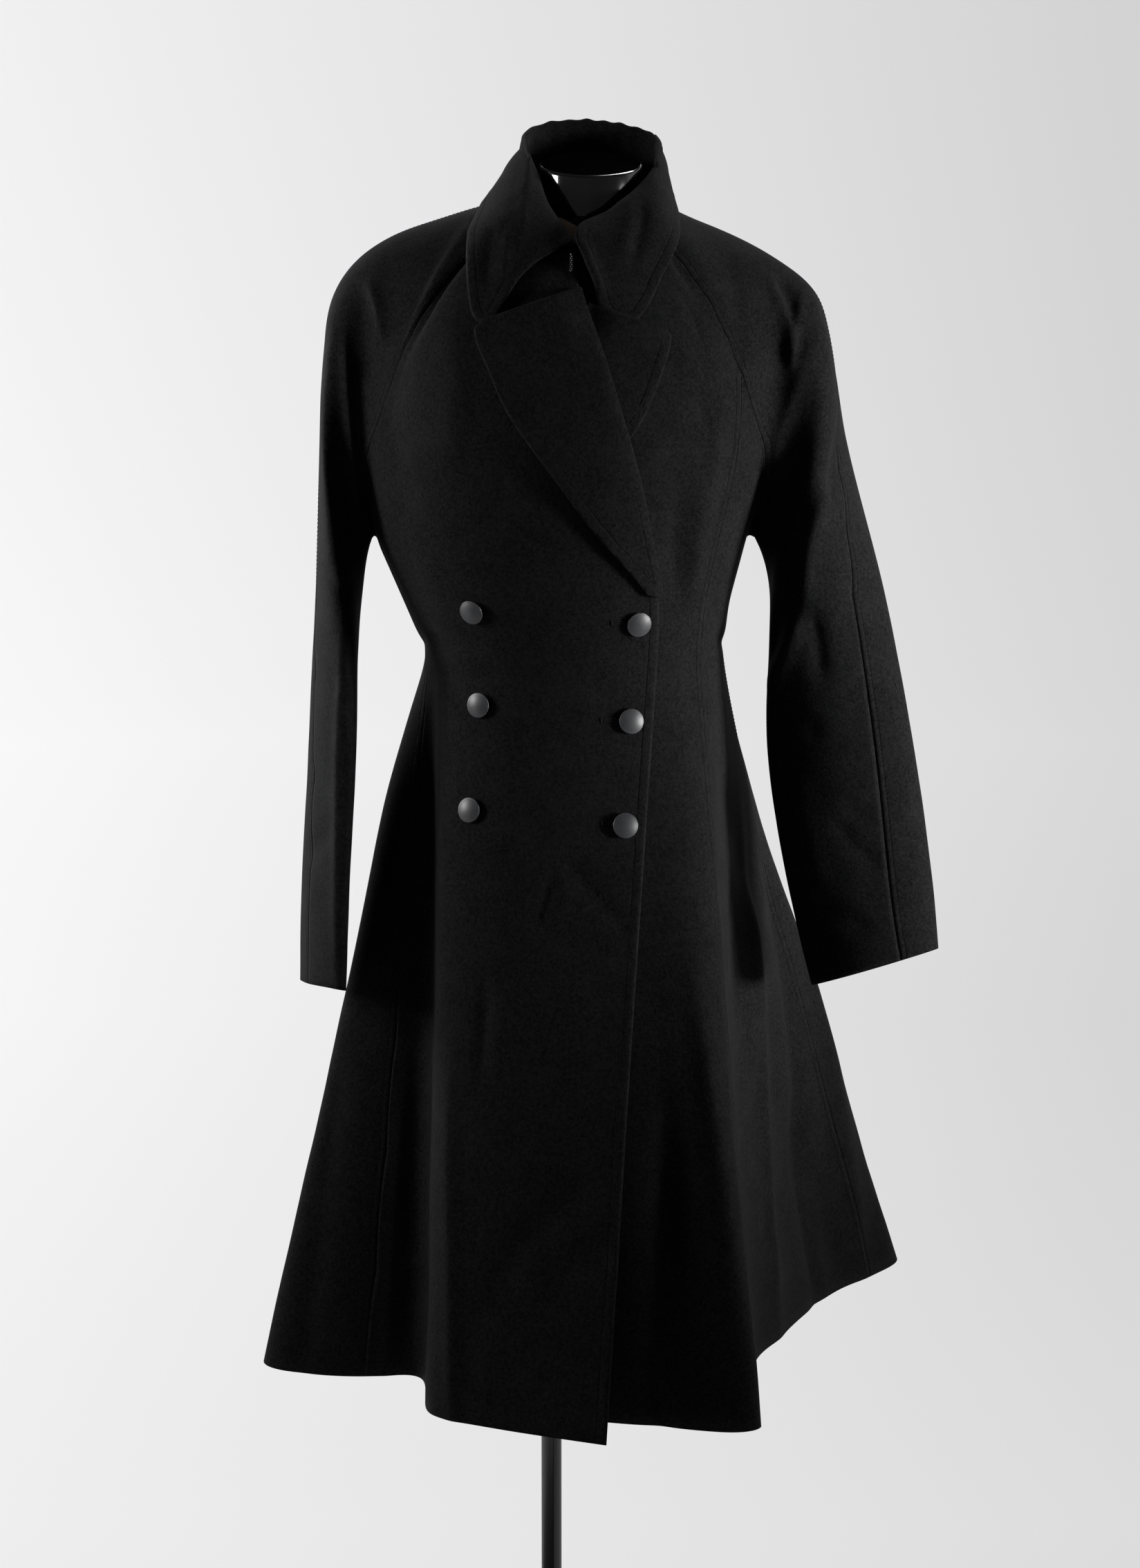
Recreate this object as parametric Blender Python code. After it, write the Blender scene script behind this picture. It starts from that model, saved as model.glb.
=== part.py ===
"""A double-breasted wool coat with raglan sleeves, worn by a limbless dress form on a pole stand.

Metres, +Z up. The wearer's front faces -Y, and +X is the wearer's left. The origin is the centre of the
base's underside, on the floor. Every piece of cloth is a wall of WALL_THICKNESS round a middle surface that
is worked out from the tables of sections, fold lines and seam stations below.
"""

import math

import bmesh
import bpy
import numpy as np
from mathutils import Vector

# Driving sizes
WALL_THICKNESS = 0.0020
SEAM_GAP = 0.0003
SLEEVE_SEAM_GAP = 0.0006
LAYER_STEP = 0.0042  # from the middle of one layer of cloth to the middle of the next
WAIST_HEIGHT = 1.065
HEM_HEIGHT = 0.400
SECOND_LAYER_HEIGHTS = (1.070, 1.128)  # the overlapping front climbs over the other lapel here
LAPEL_TOP_HEIGHTS = (1.400, 1.442)  # and comes down from it here
CUFF_HEIGHT = 0.776
BUTTON_DIAMETER = 0.0228
BUTTON_THICKNESS = 0.0050
POLE_RADIUS = 0.0098
BASE_RADIUS = 0.180
BASE_THICKNESS = 0.012
HUB_RADIUS = 0.021
HUB_HEIGHT = 0.045
NECK_RADIUS = 0.0485
NECK_TOP = (0.037, 0.0, 1.5245)
NECK_TILT_DEG = 14.0

# Grid densities
COLUMNS_PER_SPAN = 2
SKIRT_ROWS = (0.0, 0.06, 0.14, 0.24, 0.36, 0.50, 0.66, 0.83, 1.0)
BODICE_ROWS = 12
WAIST_SMOOTHING = 2  # passes that soften the crease between bodice and skirt
SLEEVE_SPANS = 7  # round each half of a sleeve

# Horizontal sections of the coat above the waist
BODY_SECTIONS = {
    "height": (1.065, 1.120, 1.180, 1.250, 1.320, 1.390, 1.420, 1.445, 1.470, 1.492),
    "left": (-0.111, -0.134, -0.160, -0.172, -0.176, -0.164, -0.150, -0.125, -0.078, -0.040),
    "right": (0.159, 0.165, 0.180, 0.200, 0.208, 0.198, 0.182, 0.158, 0.124, 0.098),
    "front": (-0.112, -0.127, -0.140, -0.146, -0.139, -0.114, -0.098, -0.083, -0.064, -0.050),
    "back": (0.098, 0.104, 0.110, 0.115, 0.117, 0.110, 0.102, 0.093, 0.080, 0.068),
}

# Lines that run down the skirt from the waist to the hem: the angle at the waist is measured from the
# front, positive towards the wearer's left, and goes round by the wearer's right. "hip" is how much
# earlier than a straight line the fold swings out.
FOLD_LINES = (
    # name, waist angle, hem x, hem y, hip
    ("overlap_edge", 31.5, 0.0515, -0.270, 0.00),
    ("front_a", 12, -0.008, -0.245, 0.00),
    ("front_b", -12, -0.058, -0.222, 0.02),
    ("front_c", -38, -0.094, -0.202, 0.05),
    ("fold_edge", -58, -0.1120, -0.182, 0.12),
    ("fold_turn", -64, -0.1145, -0.150, 0.10),
    ("fold_valley", -69, -0.118, -0.100, 0.06),
    ("fold_out", -73, -0.136, -0.084, 0.06),
    ("side_front_right", -78, -0.1743, -0.090, 0.09),
    ("left_lobe", -84, -0.226, -0.084, 0.11),
    ("left_tip", -90, -0.272, -0.060, 0.12),
    ("side_back_right", -97, -0.266, -0.012, 0.10),
    ("left_valley", -105, -0.208, 0.052, 0.06),
    ("left_back_a", -115, -0.212, 0.115, 0.08),
    ("left_back_b", -126, -0.236, 0.176, 0.10),
    ("left_back_c", -137, -0.200, 0.226, 0.08),
    ("left_back_d", -150, -0.115, 0.196, 0.04),
    ("back_lobe_right", -168, -0.045, 0.246, 0.06),
    ("centre_back", -180, 0.020, 0.214, 0.02),
    ("back_lobe_left", -192, 0.085, 0.262, 0.06),
    ("right_back_a", -210, 0.150, 0.226, 0.02),
    ("right_back_b", -223, 0.225, 0.272, 0.00),
    ("right_back_c", -234, 0.288, 0.312, 0.00),
    ("right_back_d", -245, 0.340, 0.312, 0.00),
    ("right_tip", -255, 0.362, 0.268, -0.02),
    ("side_back_left", -263, 0.325, 0.214, -0.02),
    ("right_side_a", -270, 0.282, 0.158, 0.02),
    ("right_side_b", -276, 0.238, 0.064, 0.02),
    ("right_side_c", -283, 0.212, 0.004, 0.02),
    ("right_valley", -290, 0.192, -0.048, 0.02),
    ("right_fold_in", -296, 0.181, -0.120, 0.03),
    ("side_front_left", -305, 0.189, -0.196, 0.04),
    ("right_fold_edge", -314, 0.186, -0.229, 0.02),
    ("under_a", -322, 0.160, -0.239, 0.01),
    ("under_b", -335, 0.105, -0.225, 0.00),
    ("under_c", -355, 0.045, -0.211, 0.00),
    ("under_d", -378, -0.012, -0.200, 0.00),
    ("under_edge", -398, -0.058, -0.192, 0.00),
)
HIP_REACH = 0.06  # share of the skirt's height over which the hip swing grows

# Height of the raglan seam by its angle from the centre front, or from the centre back
RAGLAN_FRONT = {"angle": (38, 41, 44, 50, 56, 62, 70, 80, 90),
                "height": (1.475, 1.447, 1.420, 1.374, 1.330, 1.298, 1.272, 1.232, 1.186)}
RAGLAN_BACK = {"angle": (12, 20, 30, 40, 52, 64, 76, 84, 90),
               "height": (1.487, 1.470, 1.445, 1.410, 1.360, 1.310, 1.255, 1.220, 1.186)}
FRONT_NECK_HEIGHT = 1.447
UNDER_NECK_HEIGHT = 1.441

# Front edge of each front above the waist: the overlapping front on the wearer's right, the other below it
EDGE_RIGHT_FRONT = {"height": (1.065, 1.126, 1.159, 1.243, 1.304, 1.366, 1.412, 1.450),
                    "x": (0.0945, 0.0970, 0.0940, 0.0765, 0.0592, 0.0415, 0.0245, 0.0215)}
EDGE_LEFT_FRONT = {"height": (1.065, 1.126, 1.200, 1.300, 1.380, 1.450),
                   "x": (-0.058, -0.058, -0.038, -0.008, 0.012, 0.016)}

# Top line of each sleeve, from the neck over the shoulder to the level of the armpit
SHOULDER_LINE_RIGHT = (
    # x, y, height
    (-0.0385, 0.012, 1.4915),
    (-0.0685, 0.011, 1.4853),
    (-0.1022, 0.010, 1.4752),
    (-0.1455, 0.010, 1.4605),
    (-0.1800, 0.010, 1.4370),
    (-0.2020, 0.009, 1.4020),
    (-0.2085, 0.006, 1.3520),
    (-0.2125, 0.002, 1.2960),
    (-0.2145, -0.004, 1.2400),
)
SHOULDER_LINE_LEFT = (
    # x, y, height
    (0.0980, 0.012, 1.4905),
    (0.1255, 0.011, 1.4770),
    (0.1567, 0.010, 1.4655),
    (0.1860, 0.010, 1.4520),
    (0.2147, 0.010, 1.4350),
    (0.2430, 0.008, 1.4120),
    (0.2600, 0.002, 1.3760),
    (0.2650, -0.010, 1.3280),
    (0.2610, -0.026, 1.2700),
)

# Stations down each arm: the underarm seam, the overarm seam, and how far the front half and the back
# half stand out from the line between them, along compass directions (0 is -Y, 90 is +X). "dip" is how far
# the front half sinks, and the back half rises, for each metre that it stands out
ARM_RIGHT = (
    # height, underarm x, y, overarm x, y, overarm height, front depth, back depth, front dir, back dir, dip
    (1.143, -0.1800, -0.008, -0.2150, -0.012, 1.182, 0.056, 0.056, 10, 186, 0.00),
    (1.100, -0.1800, -0.012, -0.2165, -0.018, 1.128, 0.057, 0.058, 16, 190, 0.00),
    (1.045, -0.1830, -0.018, -0.2185, -0.026, 1.066, 0.058, 0.058, 20, 192, 0.00),
    (0.990, -0.1895, -0.028, -0.2205, -0.036, 1.004, 0.058, 0.060, 23, 194, 0.00),
    (0.930, -0.1955, -0.040, -0.2215, -0.048, 0.939, 0.056, 0.062, 26, 196, -0.03),
    (0.870, -0.2005, -0.052, -0.2230, -0.060, 0.876, 0.054, 0.063, 28, 197, -0.06),
    (0.820, -0.2035, -0.062, -0.2240, -0.070, 0.824, 0.052, 0.064, 29, 197, -0.09),
    (CUFF_HEIGHT - 0.006, -0.2050, -0.070, -0.2245, -0.078, CUFF_HEIGHT, 0.050, 0.064, 30, 197, -0.12),
)
ARM_LEFT = (
    # height, underarm x, y, overarm x, y, overarm height, front depth, back depth, front dir, back dir, dip
    (1.136, 0.2120, 0.010, 0.2610, -0.046, 1.196, 0.0520, 0.0780, -36, 114, 0.00),
    (1.098, 0.2330, 0.022, 0.2800, -0.052, 1.130, 0.0600, 0.0620, -60, 106, 0.00),
    (1.045, 0.2400, 0.024, 0.2905, -0.054, 1.060, 0.0680, 0.0600, -74, 98, 0.02),
    (0.990, 0.2470, 0.022, 0.3000, -0.056, 1.000, 0.0700, 0.0575, -78, 96, 0.04),
    (0.930, 0.2560, 0.018, 0.3070, -0.058, 0.940, 0.0690, 0.0600, -80, 96, 0.08),
    (0.870, 0.2650, 0.013, 0.3130, -0.060, 0.882, 0.0660, 0.0620, -82, 96, 0.14),
    (0.815, 0.2740, 0.009, 0.3190, -0.062, 0.832, 0.0600, 0.0610, -82, 96, 0.22),
    (0.768, 0.2820, 0.005, 0.3260, -0.063, 0.795, 0.0540, 0.0560, -82, 96, 0.28),
)
# Compass directions in which each sleeve's front and back stand out at the armpit
ARMHOLE_RIGHT = (4, 178)
ARMHOLE_LEFT = (-14, 120)
ARMPIT_SPREAD = 0.8  # how strongly the sleeve leaves the body sideways there
LAP_SHARES = (0.30, 0.62)  # the sleeve's seam laps over the body from here down to the armpit
SLEEVE_SMOOTHING = 5  # passes that soften the turn from shoulder to arm

# Neck edges of the collar: where it is sewn on, where it folds and where its leaf ends, from the wearer's
# right front round the back to the left front
COLLAR_LINES = (
    # seam x, y, height, fold x, y, height, leaf x, y, height, swell
    (0.0130, -0.0905, 1.4500, 0.0085, -0.0850, 1.4610, -0.0505, -0.1205, 1.3870, 0.010),
    (-0.0080, -0.0800, 1.4590, 0.0030, -0.0680, 1.4790, -0.0700, -0.1150, 1.3860, 0.013),
    (-0.0225, -0.0600, 1.4750, -0.0060, -0.0440, 1.5030, -0.0800, -0.0850, 1.4400, 0.013),
    (-0.0320, -0.0280, 1.4910, -0.0150, -0.0120, 1.5290, -0.0800, -0.0360, 1.4750, 0.012),
    (-0.0350, 0.0120, 1.4990, -0.0205, 0.0260, 1.5480, -0.0760, 0.0200, 1.4950, 0.012),
    (-0.0230, 0.0470, 1.4970, -0.0120, 0.0560, 1.5600, -0.0480, 0.0780, 1.4980, 0.010),
    (0.0080, 0.0660, 1.4945, 0.0120, 0.0700, 1.5665, 0.0000, 0.1030, 1.4980, 0.009),
    (0.0400, 0.0675, 1.4945, 0.0400, 0.0730, 1.5665, 0.0440, 0.1060, 1.4980, 0.009),
    (0.0690, 0.0590, 1.4950, 0.0720, 0.0690, 1.5610, 0.0880, 0.0920, 1.4980, 0.009),
    (0.0870, 0.0400, 1.4970, 0.0960, 0.0520, 1.5510, 0.1170, 0.0580, 1.4950, 0.010),
    (0.0930, 0.0100, 1.4970, 0.0980, 0.0160, 1.5330, 0.1250, 0.0080, 1.4890, 0.012),
    (0.0860, -0.0260, 1.4890, 0.0870, -0.0200, 1.5150, 0.1255, -0.0400, 1.4720, 0.012),
    (0.0690, -0.0550, 1.4745, 0.0700, -0.0460, 1.4980, 0.1200, -0.0800, 1.4440, 0.010),
    (0.0480, -0.0760, 1.4620, 0.0480, -0.0670, 1.4780, 0.0860, -0.1110, 1.3860, 0.010),
    (0.0330, -0.0870, 1.4530, 0.0290, -0.0800, 1.4680, 0.0510, -0.1165, 1.3890, 0.008),
)

# Outline of each lapel: its roll line and its outer edge, from the notch end to the break
LAPEL_RIGHT = (
    # roll x, roll height, outer x, outer height
    (0.0255, 1.4160, -0.0670, 1.3850),
    (0.0300, 1.4000, -0.0655, 1.3680),
    (0.0440, 1.3620, -0.0540, 1.3430),
    (0.0615, 1.3040, -0.0360, 1.3030),
    (0.0787, 1.2430, 0.0020, 1.2520),
    (0.0890, 1.1950, 0.0400, 1.2000),
    (0.0965, 1.1600, 0.0720, 1.1640),
    (0.0985, 1.1400, 0.0870, 1.1440),
)
LAPEL_LEFT = (
    # roll x, roll height, outer x, outer height
    (0.0340, 1.4020, 0.1075, 1.3790),
    (0.0310, 1.3880, 0.1075, 1.3640),
    (0.0220, 1.3500, 0.0980, 1.3360),
    (0.0080, 1.3000, 0.0830, 1.3000),
    (-0.0080, 1.2480, 0.0500, 1.2560),
    (-0.0260, 1.2000, 0.0080, 1.2080),
    (-0.0400, 1.1640, -0.0240, 1.1700),
    (-0.0500, 1.1420, -0.0400, 1.1450),
)

# Horizontal sections of the form's torso. The coat rests on its shoulders, half a millimetre above them
FORM_SECTIONS = {
    "height": (0.905, 0.930, 0.990, 1.065, 1.120, 1.180, 1.250, 1.320, 1.380, 1.415, 1.438, 1.456,
               1.468, 1.476),
    "left": (-0.070, -0.082, -0.090, -0.096, -0.114, -0.138, -0.152, -0.158, -0.160, -0.1562, -0.1397,
             -0.1065, -0.0644, -0.0191),
    "right": (0.110, 0.124, 0.136, 0.143, 0.149, 0.160, 0.180, 0.190, 0.1984, 0.1984, 0.1832, 0.1497,
              0.1171, 0.0912),
    "front": (-0.070, -0.082, -0.092, -0.098, -0.112, -0.124, -0.130, -0.123, -0.100, -0.082, -0.070,
              -0.062, -0.057, -0.052),
    "back": (0.070, 0.080, 0.084, 0.084, 0.090, 0.096, 0.102, 0.104, 0.096, 0.086, 0.078, 0.070,
             0.063, 0.056),
}
FORM_SEGMENTS = 32

# How a lapel turns at its roll line
LAPEL_SHARES = (0.14, 0.30, 0.48, 0.66, 0.84, 1.0)
LAPEL_ROWS_BETWEEN = 2
ROLL_REACH = 0.005
ROLL_SWELL = 0.0026
ROLL_ROOM = 0.0015
COLLAR_TUCK = 0.0062  # room for the collar's points under the lapels
TUCK_HEIGHTS = (1.356, 1.386)
TUCK_REACH = (0.009, 0.019)  # from the roll line

# Buttons on the overlapping front
BUTTONS = (
    # name, x, height
    ("button_right_top", -0.0688, 1.1280),
    ("button_right_middle", -0.0632, 1.0405),
    ("button_right_low", -0.0716, 0.9460),
    ("button_left_top", 0.0788, 1.1175),
    ("button_left_middle", 0.0724, 1.0280),
    ("button_left_low", 0.0675, 0.9358),
)

# The hook that holds the two fronts together at the neckline
HOOK_PLACE = (0.0190, 1.4360)
HOOK_SIZE = (0.0036, 0.0190, 0.0010)  # across, up and down, thickness

FINISHES = {
    # colour, roughness, metallic
    "wool": ((0.012, 0.012, 0.013), 0.92, 0.0),
    "button": ((0.030, 0.030, 0.032), 0.45, 0.0),
    "form_cloth": ((0.42, 0.36, 0.29), 0.90, 0.0),
    "neck": ((0.006, 0.006, 0.007), 0.12, 0.0),
    "stand": ((0.012, 0.012, 0.013), 0.35, 0.6),
    "hook": ((0.020, 0.020, 0.022), 0.35, 0.9),
}


def clear_scene():
    for item in list(bpy.data.objects):
        bpy.data.objects.remove(item, do_unlink=True)


def finish(name):
    """The Principled material of one finish, made once."""
    if name in bpy.data.materials:
        return bpy.data.materials[name]
    colour, roughness, metallic = FINISHES[name]
    material = bpy.data.materials.new(name)
    material.use_nodes = True
    shader = material.node_tree.nodes["Principled BSDF"]
    shader.inputs["Base Color"].default_value = (*colour, 1.0)
    shader.inputs["Roughness"].default_value = roughness
    shader.inputs["Metallic"].default_value = metallic
    return material


def add_object(name, bm, material_name, smooth_deg=40):
    mesh = bpy.data.meshes.new(name)
    bmesh.ops.recalc_face_normals(bm, faces=bm.faces)
    bm.to_mesh(mesh)
    bm.free()
    mesh.shade_smooth()
    mesh.set_sharp_from_angle(angle=math.radians(smooth_deg))
    mesh.materials.append(finish(material_name))
    item = bpy.data.objects.new(name, mesh)
    bpy.context.scene.collection.objects.link(item)
    return item


def ease(value, start, end):
    """0 before start, 1 after end, and a smooth step between them."""
    share = np.clip((value - start) / (end - start), 0.0, 1.0)
    return share * share * (3.0 - 2.0 * share)


def table_curve(values, share):
    """A smooth curve through the rows of a table, read at a share from 0 to 1."""
    rows = np.asarray(values, float)
    place = share * (len(rows) - 1)
    index = int(min(place, len(rows) - 2))
    t = place - index
    before = rows[max(index - 1, 0)]
    start, end = rows[index], rows[index + 1]
    after = rows[min(index + 2, len(rows) - 1)]
    in_slope, out_slope = (end - before) / 2, (after - start) / 2
    return (
        (2 * t**3 - 3 * t**2 + 1) * start
        + (t**3 - 2 * t**2 + t) * in_slope
        + (3 * t**2 - 2 * t**3) * end
        + (t**3 - t**2) * out_slope
    )


def section_at(sections, height):
    """Middle x, half width, front y and back y of a body at a height."""
    read = {key: np.interp(height, sections["height"], sections[key]) for key in sections}
    return (read["left"] + read["right"]) / 2, (read["right"] - read["left"]) / 2, read["front"], read["back"]


def section_point(sections, height, angle_deg):
    """The point of a section at an angle from the front, positive towards +X."""
    middle, half, front, back = section_at(sections, height)
    angle = math.radians(angle_deg)
    depth = -front if math.cos(angle) > 0 else back
    return np.array((middle + half * math.sin(angle), -depth * math.cos(angle), height))


def angle_of_x(height, x):
    middle, half, _, _ = section_at(BODY_SECTIONS, height)
    return math.degrees(math.asin(np.clip((x - middle) / half, -1, 1)))


def raglan_height(angle_deg):
    """Height of the sleeve seam at an angle round the body."""
    turn = abs(angle_deg) % 360
    turn = 360 - turn if turn > 180 else turn
    if turn <= 90:
        return float(np.interp(turn, RAGLAN_FRONT["angle"], RAGLAN_FRONT["height"]))
    return float(np.interp(180 - turn, RAGLAN_BACK["angle"], RAGLAN_BACK["height"]))


def top_height(waist_angle):
    """Height of a body column's top: the neckline at the front and back, the sleeve seam between."""
    first_edge = FOLD_LINES[0][1]
    under_edge = FOLD_LINES[-1][1]
    neck_turn = RAGLAN_FRONT["angle"][0]
    side_height = RAGLAN_FRONT["height"][0]
    if waist_angle > -neck_turn:
        share = (waist_angle + neck_turn) / (first_edge + neck_turn)
        return side_height + (FRONT_NECK_HEIGHT - side_height) * math.sin(share * math.pi / 2)
    if waist_angle < neck_turn - 360:
        share = (waist_angle + 360 - neck_turn) / (under_edge + 360 - neck_turn)
        return side_height + (UNDER_NECK_HEIGHT - side_height) * math.sin(share * math.pi / 2)
    return raglan_height(waist_angle)


def bodice_angle(waist_angle, height):
    """The angle of a column above the waist: the fronts narrow towards their own edges."""
    neck_turn = RAGLAN_FRONT["angle"][0]
    if waist_angle > -neck_turn:
        edge_x = np.interp(height, EDGE_RIGHT_FRONT["height"], EDGE_RIGHT_FRONT["x"])
        edge, first = angle_of_x(height, edge_x), FOLD_LINES[0][1]
        return -neck_turn + (waist_angle + neck_turn) * (edge + neck_turn) / (first + neck_turn)
    if waist_angle < neck_turn - 360:
        edge_x = np.interp(height, EDGE_LEFT_FRONT["height"], EDGE_LEFT_FRONT["x"])
        edge, last = angle_of_x(height, edge_x), FOLD_LINES[-1][1] + 360
        return neck_turn - 360 + (waist_angle + 360 - neck_turn) * (edge - neck_turn) / (last - neck_turn)
    return waist_angle


def overlap_lift(waist_angle, height):
    """How far the overlapping front stands off the layers under it."""
    if waist_angle <= -60:
        return 0.0
    across = ease(waist_angle, -60, -41)
    second = ease(height, *SECOND_LAYER_HEIGHTS) - ease(height, *LAPEL_TOP_HEIGHTS)
    return LAYER_STEP * across * (1.0 + second)


def column_names():
    """Each column's fold line name, or None between two lines."""
    names = []
    for row in FOLD_LINES[:-1]:
        names += [row[0]] + [None] * (COLUMNS_PER_SPAN - 1)
    return names + [FOLD_LINES[-1][0]]


def body_grid():
    """Middle surface of the whole body: rows from the hem up, columns along the fold lines."""
    keys = np.array([row[1:] for row in FOLD_LINES], float)
    count = (len(keys) - 1) * COLUMNS_PER_SPAN + 1
    shares = np.linspace(0, 1, count)
    columns = []
    for share in shares:
        place = share * (len(keys) - 1)
        waist_angle = float(np.interp(place, range(len(keys)), keys[:, 0]))
        hem_x, hem_y, hip = table_curve(keys[:, 1:], share)
        waist = section_point(BODY_SECTIONS, WAIST_HEIGHT, bodice_angle(waist_angle, WAIST_HEIGHT))
        column = []
        for drop in reversed(SKIRT_ROWS):
            swing = drop + hip * (1 - drop) * (1 - math.exp(-drop / HIP_REACH))
            x = waist[0] + (hem_x - waist[0]) * swing
            y = waist[1] + (hem_y - waist[1]) * swing
            column.append((x, y, WAIST_HEIGHT + (HEM_HEIGHT - WAIST_HEIGHT) * drop))
        top = top_height(waist_angle)
        for row in range(1, BODICE_ROWS + 1):
            height = WAIST_HEIGHT + (top - WAIST_HEIGHT) * row / BODICE_ROWS
            column.append(section_point(BODY_SECTIONS, height, bodice_angle(waist_angle, height)))
        columns.append([(waist_angle, *point) for point in column])
    grid = np.array(columns).transpose(1, 0, 2)
    angles, points = grid[0, :, 0], grid[:, :, 1:]
    waist_row = len(SKIRT_ROWS) - 1
    for _ in range(WAIST_SMOOTHING):
        softened = points.copy()
        for row in range(waist_row - 2, waist_row + 3):
            below, above = points[row - 1], points[row + 1]
            share = (points[row, :, 2] - below[:, 2]) / (above[:, 2] - below[:, 2])
            chord = below + (above - below) * share[:, None]
            softened[row, :, :2] = (points[row, :, :2] + chord[:, :2]) / 2
        points = softened
    normals = grid_normals(points)
    lift = np.array([[overlap_lift(angle, point[2]) for angle, point in zip(angles, row)] for row in points])
    points = points + normals * lift[:, :, None]
    return points, grid_normals(points)


def grid_normals(points, wrap=False):
    """Unit normals of a grid, taken across its neighbours; columns run clockwise seen from above."""
    if wrap:
        around = np.roll(points, -1, axis=1) - np.roll(points, 1, axis=1)
    else:
        around = np.gradient(points, axis=1)
    up = np.gradient(points, axis=0)
    normals = np.cross(up, around)
    return normals / np.maximum(np.linalg.norm(normals, axis=2, keepdims=True), 1e-12)


def drawn_in(points, edges, gap=SEAM_GAP):
    """Pulls the named edges of a grid in by half a seam gap."""
    points = points.copy()
    half = gap / 2

    def pull(edge, inner):
        step = inner - edge
        length = np.maximum(np.linalg.norm(step, axis=-1, keepdims=True), 1e-9)
        return edge + step / length * half

    if "first" in edges:
        points[:, 0] = pull(points[:, 0], points[:, 1])
    if "last" in edges:
        points[:, -1] = pull(points[:, -1], points[:, -2])
    if "bottom" in edges:
        points[0] = pull(points[0], points[1])
    if "top" in edges:
        points[-1] = pull(points[-1], points[-2])
    return points


def cloth_wall(name, points, normals):
    """One piece of cloth: the grid's outer face is extruded inwards to its inner face."""
    bm = bmesh.new()
    half = WALL_THICKNESS / 2
    outer = points + normals * half
    inner = points - normals * half
    rows, columns = points.shape[:2]
    verts = [[bm.verts.new(outer[r, c]) for c in range(columns)] for r in range(rows)]
    for r in range(rows - 1):
        for c in range(columns - 1):
            bm.faces.new((verts[r][c], verts[r][c + 1], verts[r + 1][c + 1], verts[r + 1][c]))
    place = {vert: inner[r, c] for r, line in enumerate(verts) for c, vert in enumerate(line)}
    bm.verts.index_update()
    where = {vert.index: place[vert] for vert in bm.verts}
    made = bmesh.ops.extrude_face_region(bm, geom=list(bm.faces), use_keep_orig=True)
    pairs = {}
    for vert in made["geom"]:
        if isinstance(vert, bmesh.types.BMVert):
            pairs[tuple(round(value, 7) for value in vert.co)] = vert
    for line in verts:
        for vert in line:
            twin = pairs[tuple(round(value, 7) for value in vert.co)]
            twin.co = Vector(where[vert.index])
    return add_object(name, bm, "wool")


def make_body(points, normals):
    """The six body panels, cut from the body grid at their seams."""
    names = column_names()
    cuts = (
        ("front_right", "overlap_edge", "side_front_right"),
        ("side_right", "side_front_right", "side_back_right"),
        ("back_right", "side_back_right", "centre_back"),
        ("back_left", "centre_back", "side_back_left"),
        ("side_left", "side_back_left", "side_front_left"),
        ("front_left", "side_front_left", "under_edge"),
    )
    for name, start, end in cuts:
        first, last = names.index(start), names.index(end)
        panel = drawn_in(points[:, first : last + 1], ("first", "last", "top"))
        cloth_wall(name, panel, normals[:, first : last + 1])


def unit(vector):
    return vector / max(np.linalg.norm(vector), 1e-12)


def compass(angle_deg):
    """A level direction: 0 is -Y and 90 is +X."""
    angle = math.radians(angle_deg)
    return np.array((math.sin(angle), -math.cos(angle), 0.0))


def half_loop(start, start_handle, end_handle, end, spans):
    """Points along a cubic from start to end, each end with its handle."""
    places = np.linspace(0, 1, spans + 1)[:, None]
    first, second = start + start_handle, end + end_handle
    return (
        (1 - places) ** 3 * start
        + 3 * (1 - places) ** 2 * places * first
        + 3 * (1 - places) * places**2 * second
        + places**3 * end
    )


def shoulder_rows(points, normals, front_columns, back_columns, line, arm, armhole):
    """Sections of a raglan sleeve from the neck to the armpit, each from the front seam over the top line
    to the back seam."""
    count = len(front_columns)
    rows = []
    side = 1.0 if line[-1][0] > 0 else -1.0
    for i in range(count):
        share = i / (count - 1)
        lap = (WALL_THICKNESS + SEAM_GAP * 1.5) * ease(share, *LAP_SHARES)
        front = points[-1, front_columns[i]] + normals[-1, front_columns[i]] * lap
        back = points[-1, back_columns[i]] + normals[-1, back_columns[i]] * lap
        top = table_curve(line, share)
        ahead = table_curve(line, min(share + 0.02, 1)) - table_curve(line, max(share - 0.02, 0))
        ridge_normal = unit(np.cross(ahead, np.array((0, 1.0, 0))) * side)
        if ridge_normal[2] < 0 and share < 0.5:
            ridge_normal = -ridge_normal
        if ridge_normal[0] * side < 0 and share >= 0.5:
            ridge_normal = -ridge_normal
        plane = unit(np.cross(top - front, back - front)) if share < 0.97 else np.array((0, 0, 1.0))
        grown = ease(share, 0.45, 1.0)
        handles = []
        for seam, normal, way, depth in (
            (front, normals[-1, front_columns[i]], compass(armhole[0]), arm[0][6]),
            (back, normals[-1, back_columns[i]], compass(armhole[1]), arm[0][7]),
        ):
            chord = np.linalg.norm(top - seam)
            leave = unit(np.cross(normal, plane))
            leave = leave if leave @ (top - seam) > 0 else -leave
            aside = unit(way + np.array((side * ARMPIT_SPREAD, 0, 0)))
            leave = unit(leave * (1 - grown) + aside * grown)
            arrive = unit(way - ridge_normal * (way @ ridge_normal))
            length = chord * 0.36 * (1 - grown) + depth * 4 / 3 * grown
            handles.append((leave * length, arrive * length))
        front_half = half_loop(front, handles[0][0], handles[0][1], top, SLEEVE_SPANS)
        back_half = half_loop(top, handles[1][1], handles[1][0], back, SLEEVE_SPANS)
        rows.append((front_half, back_half))
    return rows


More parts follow.
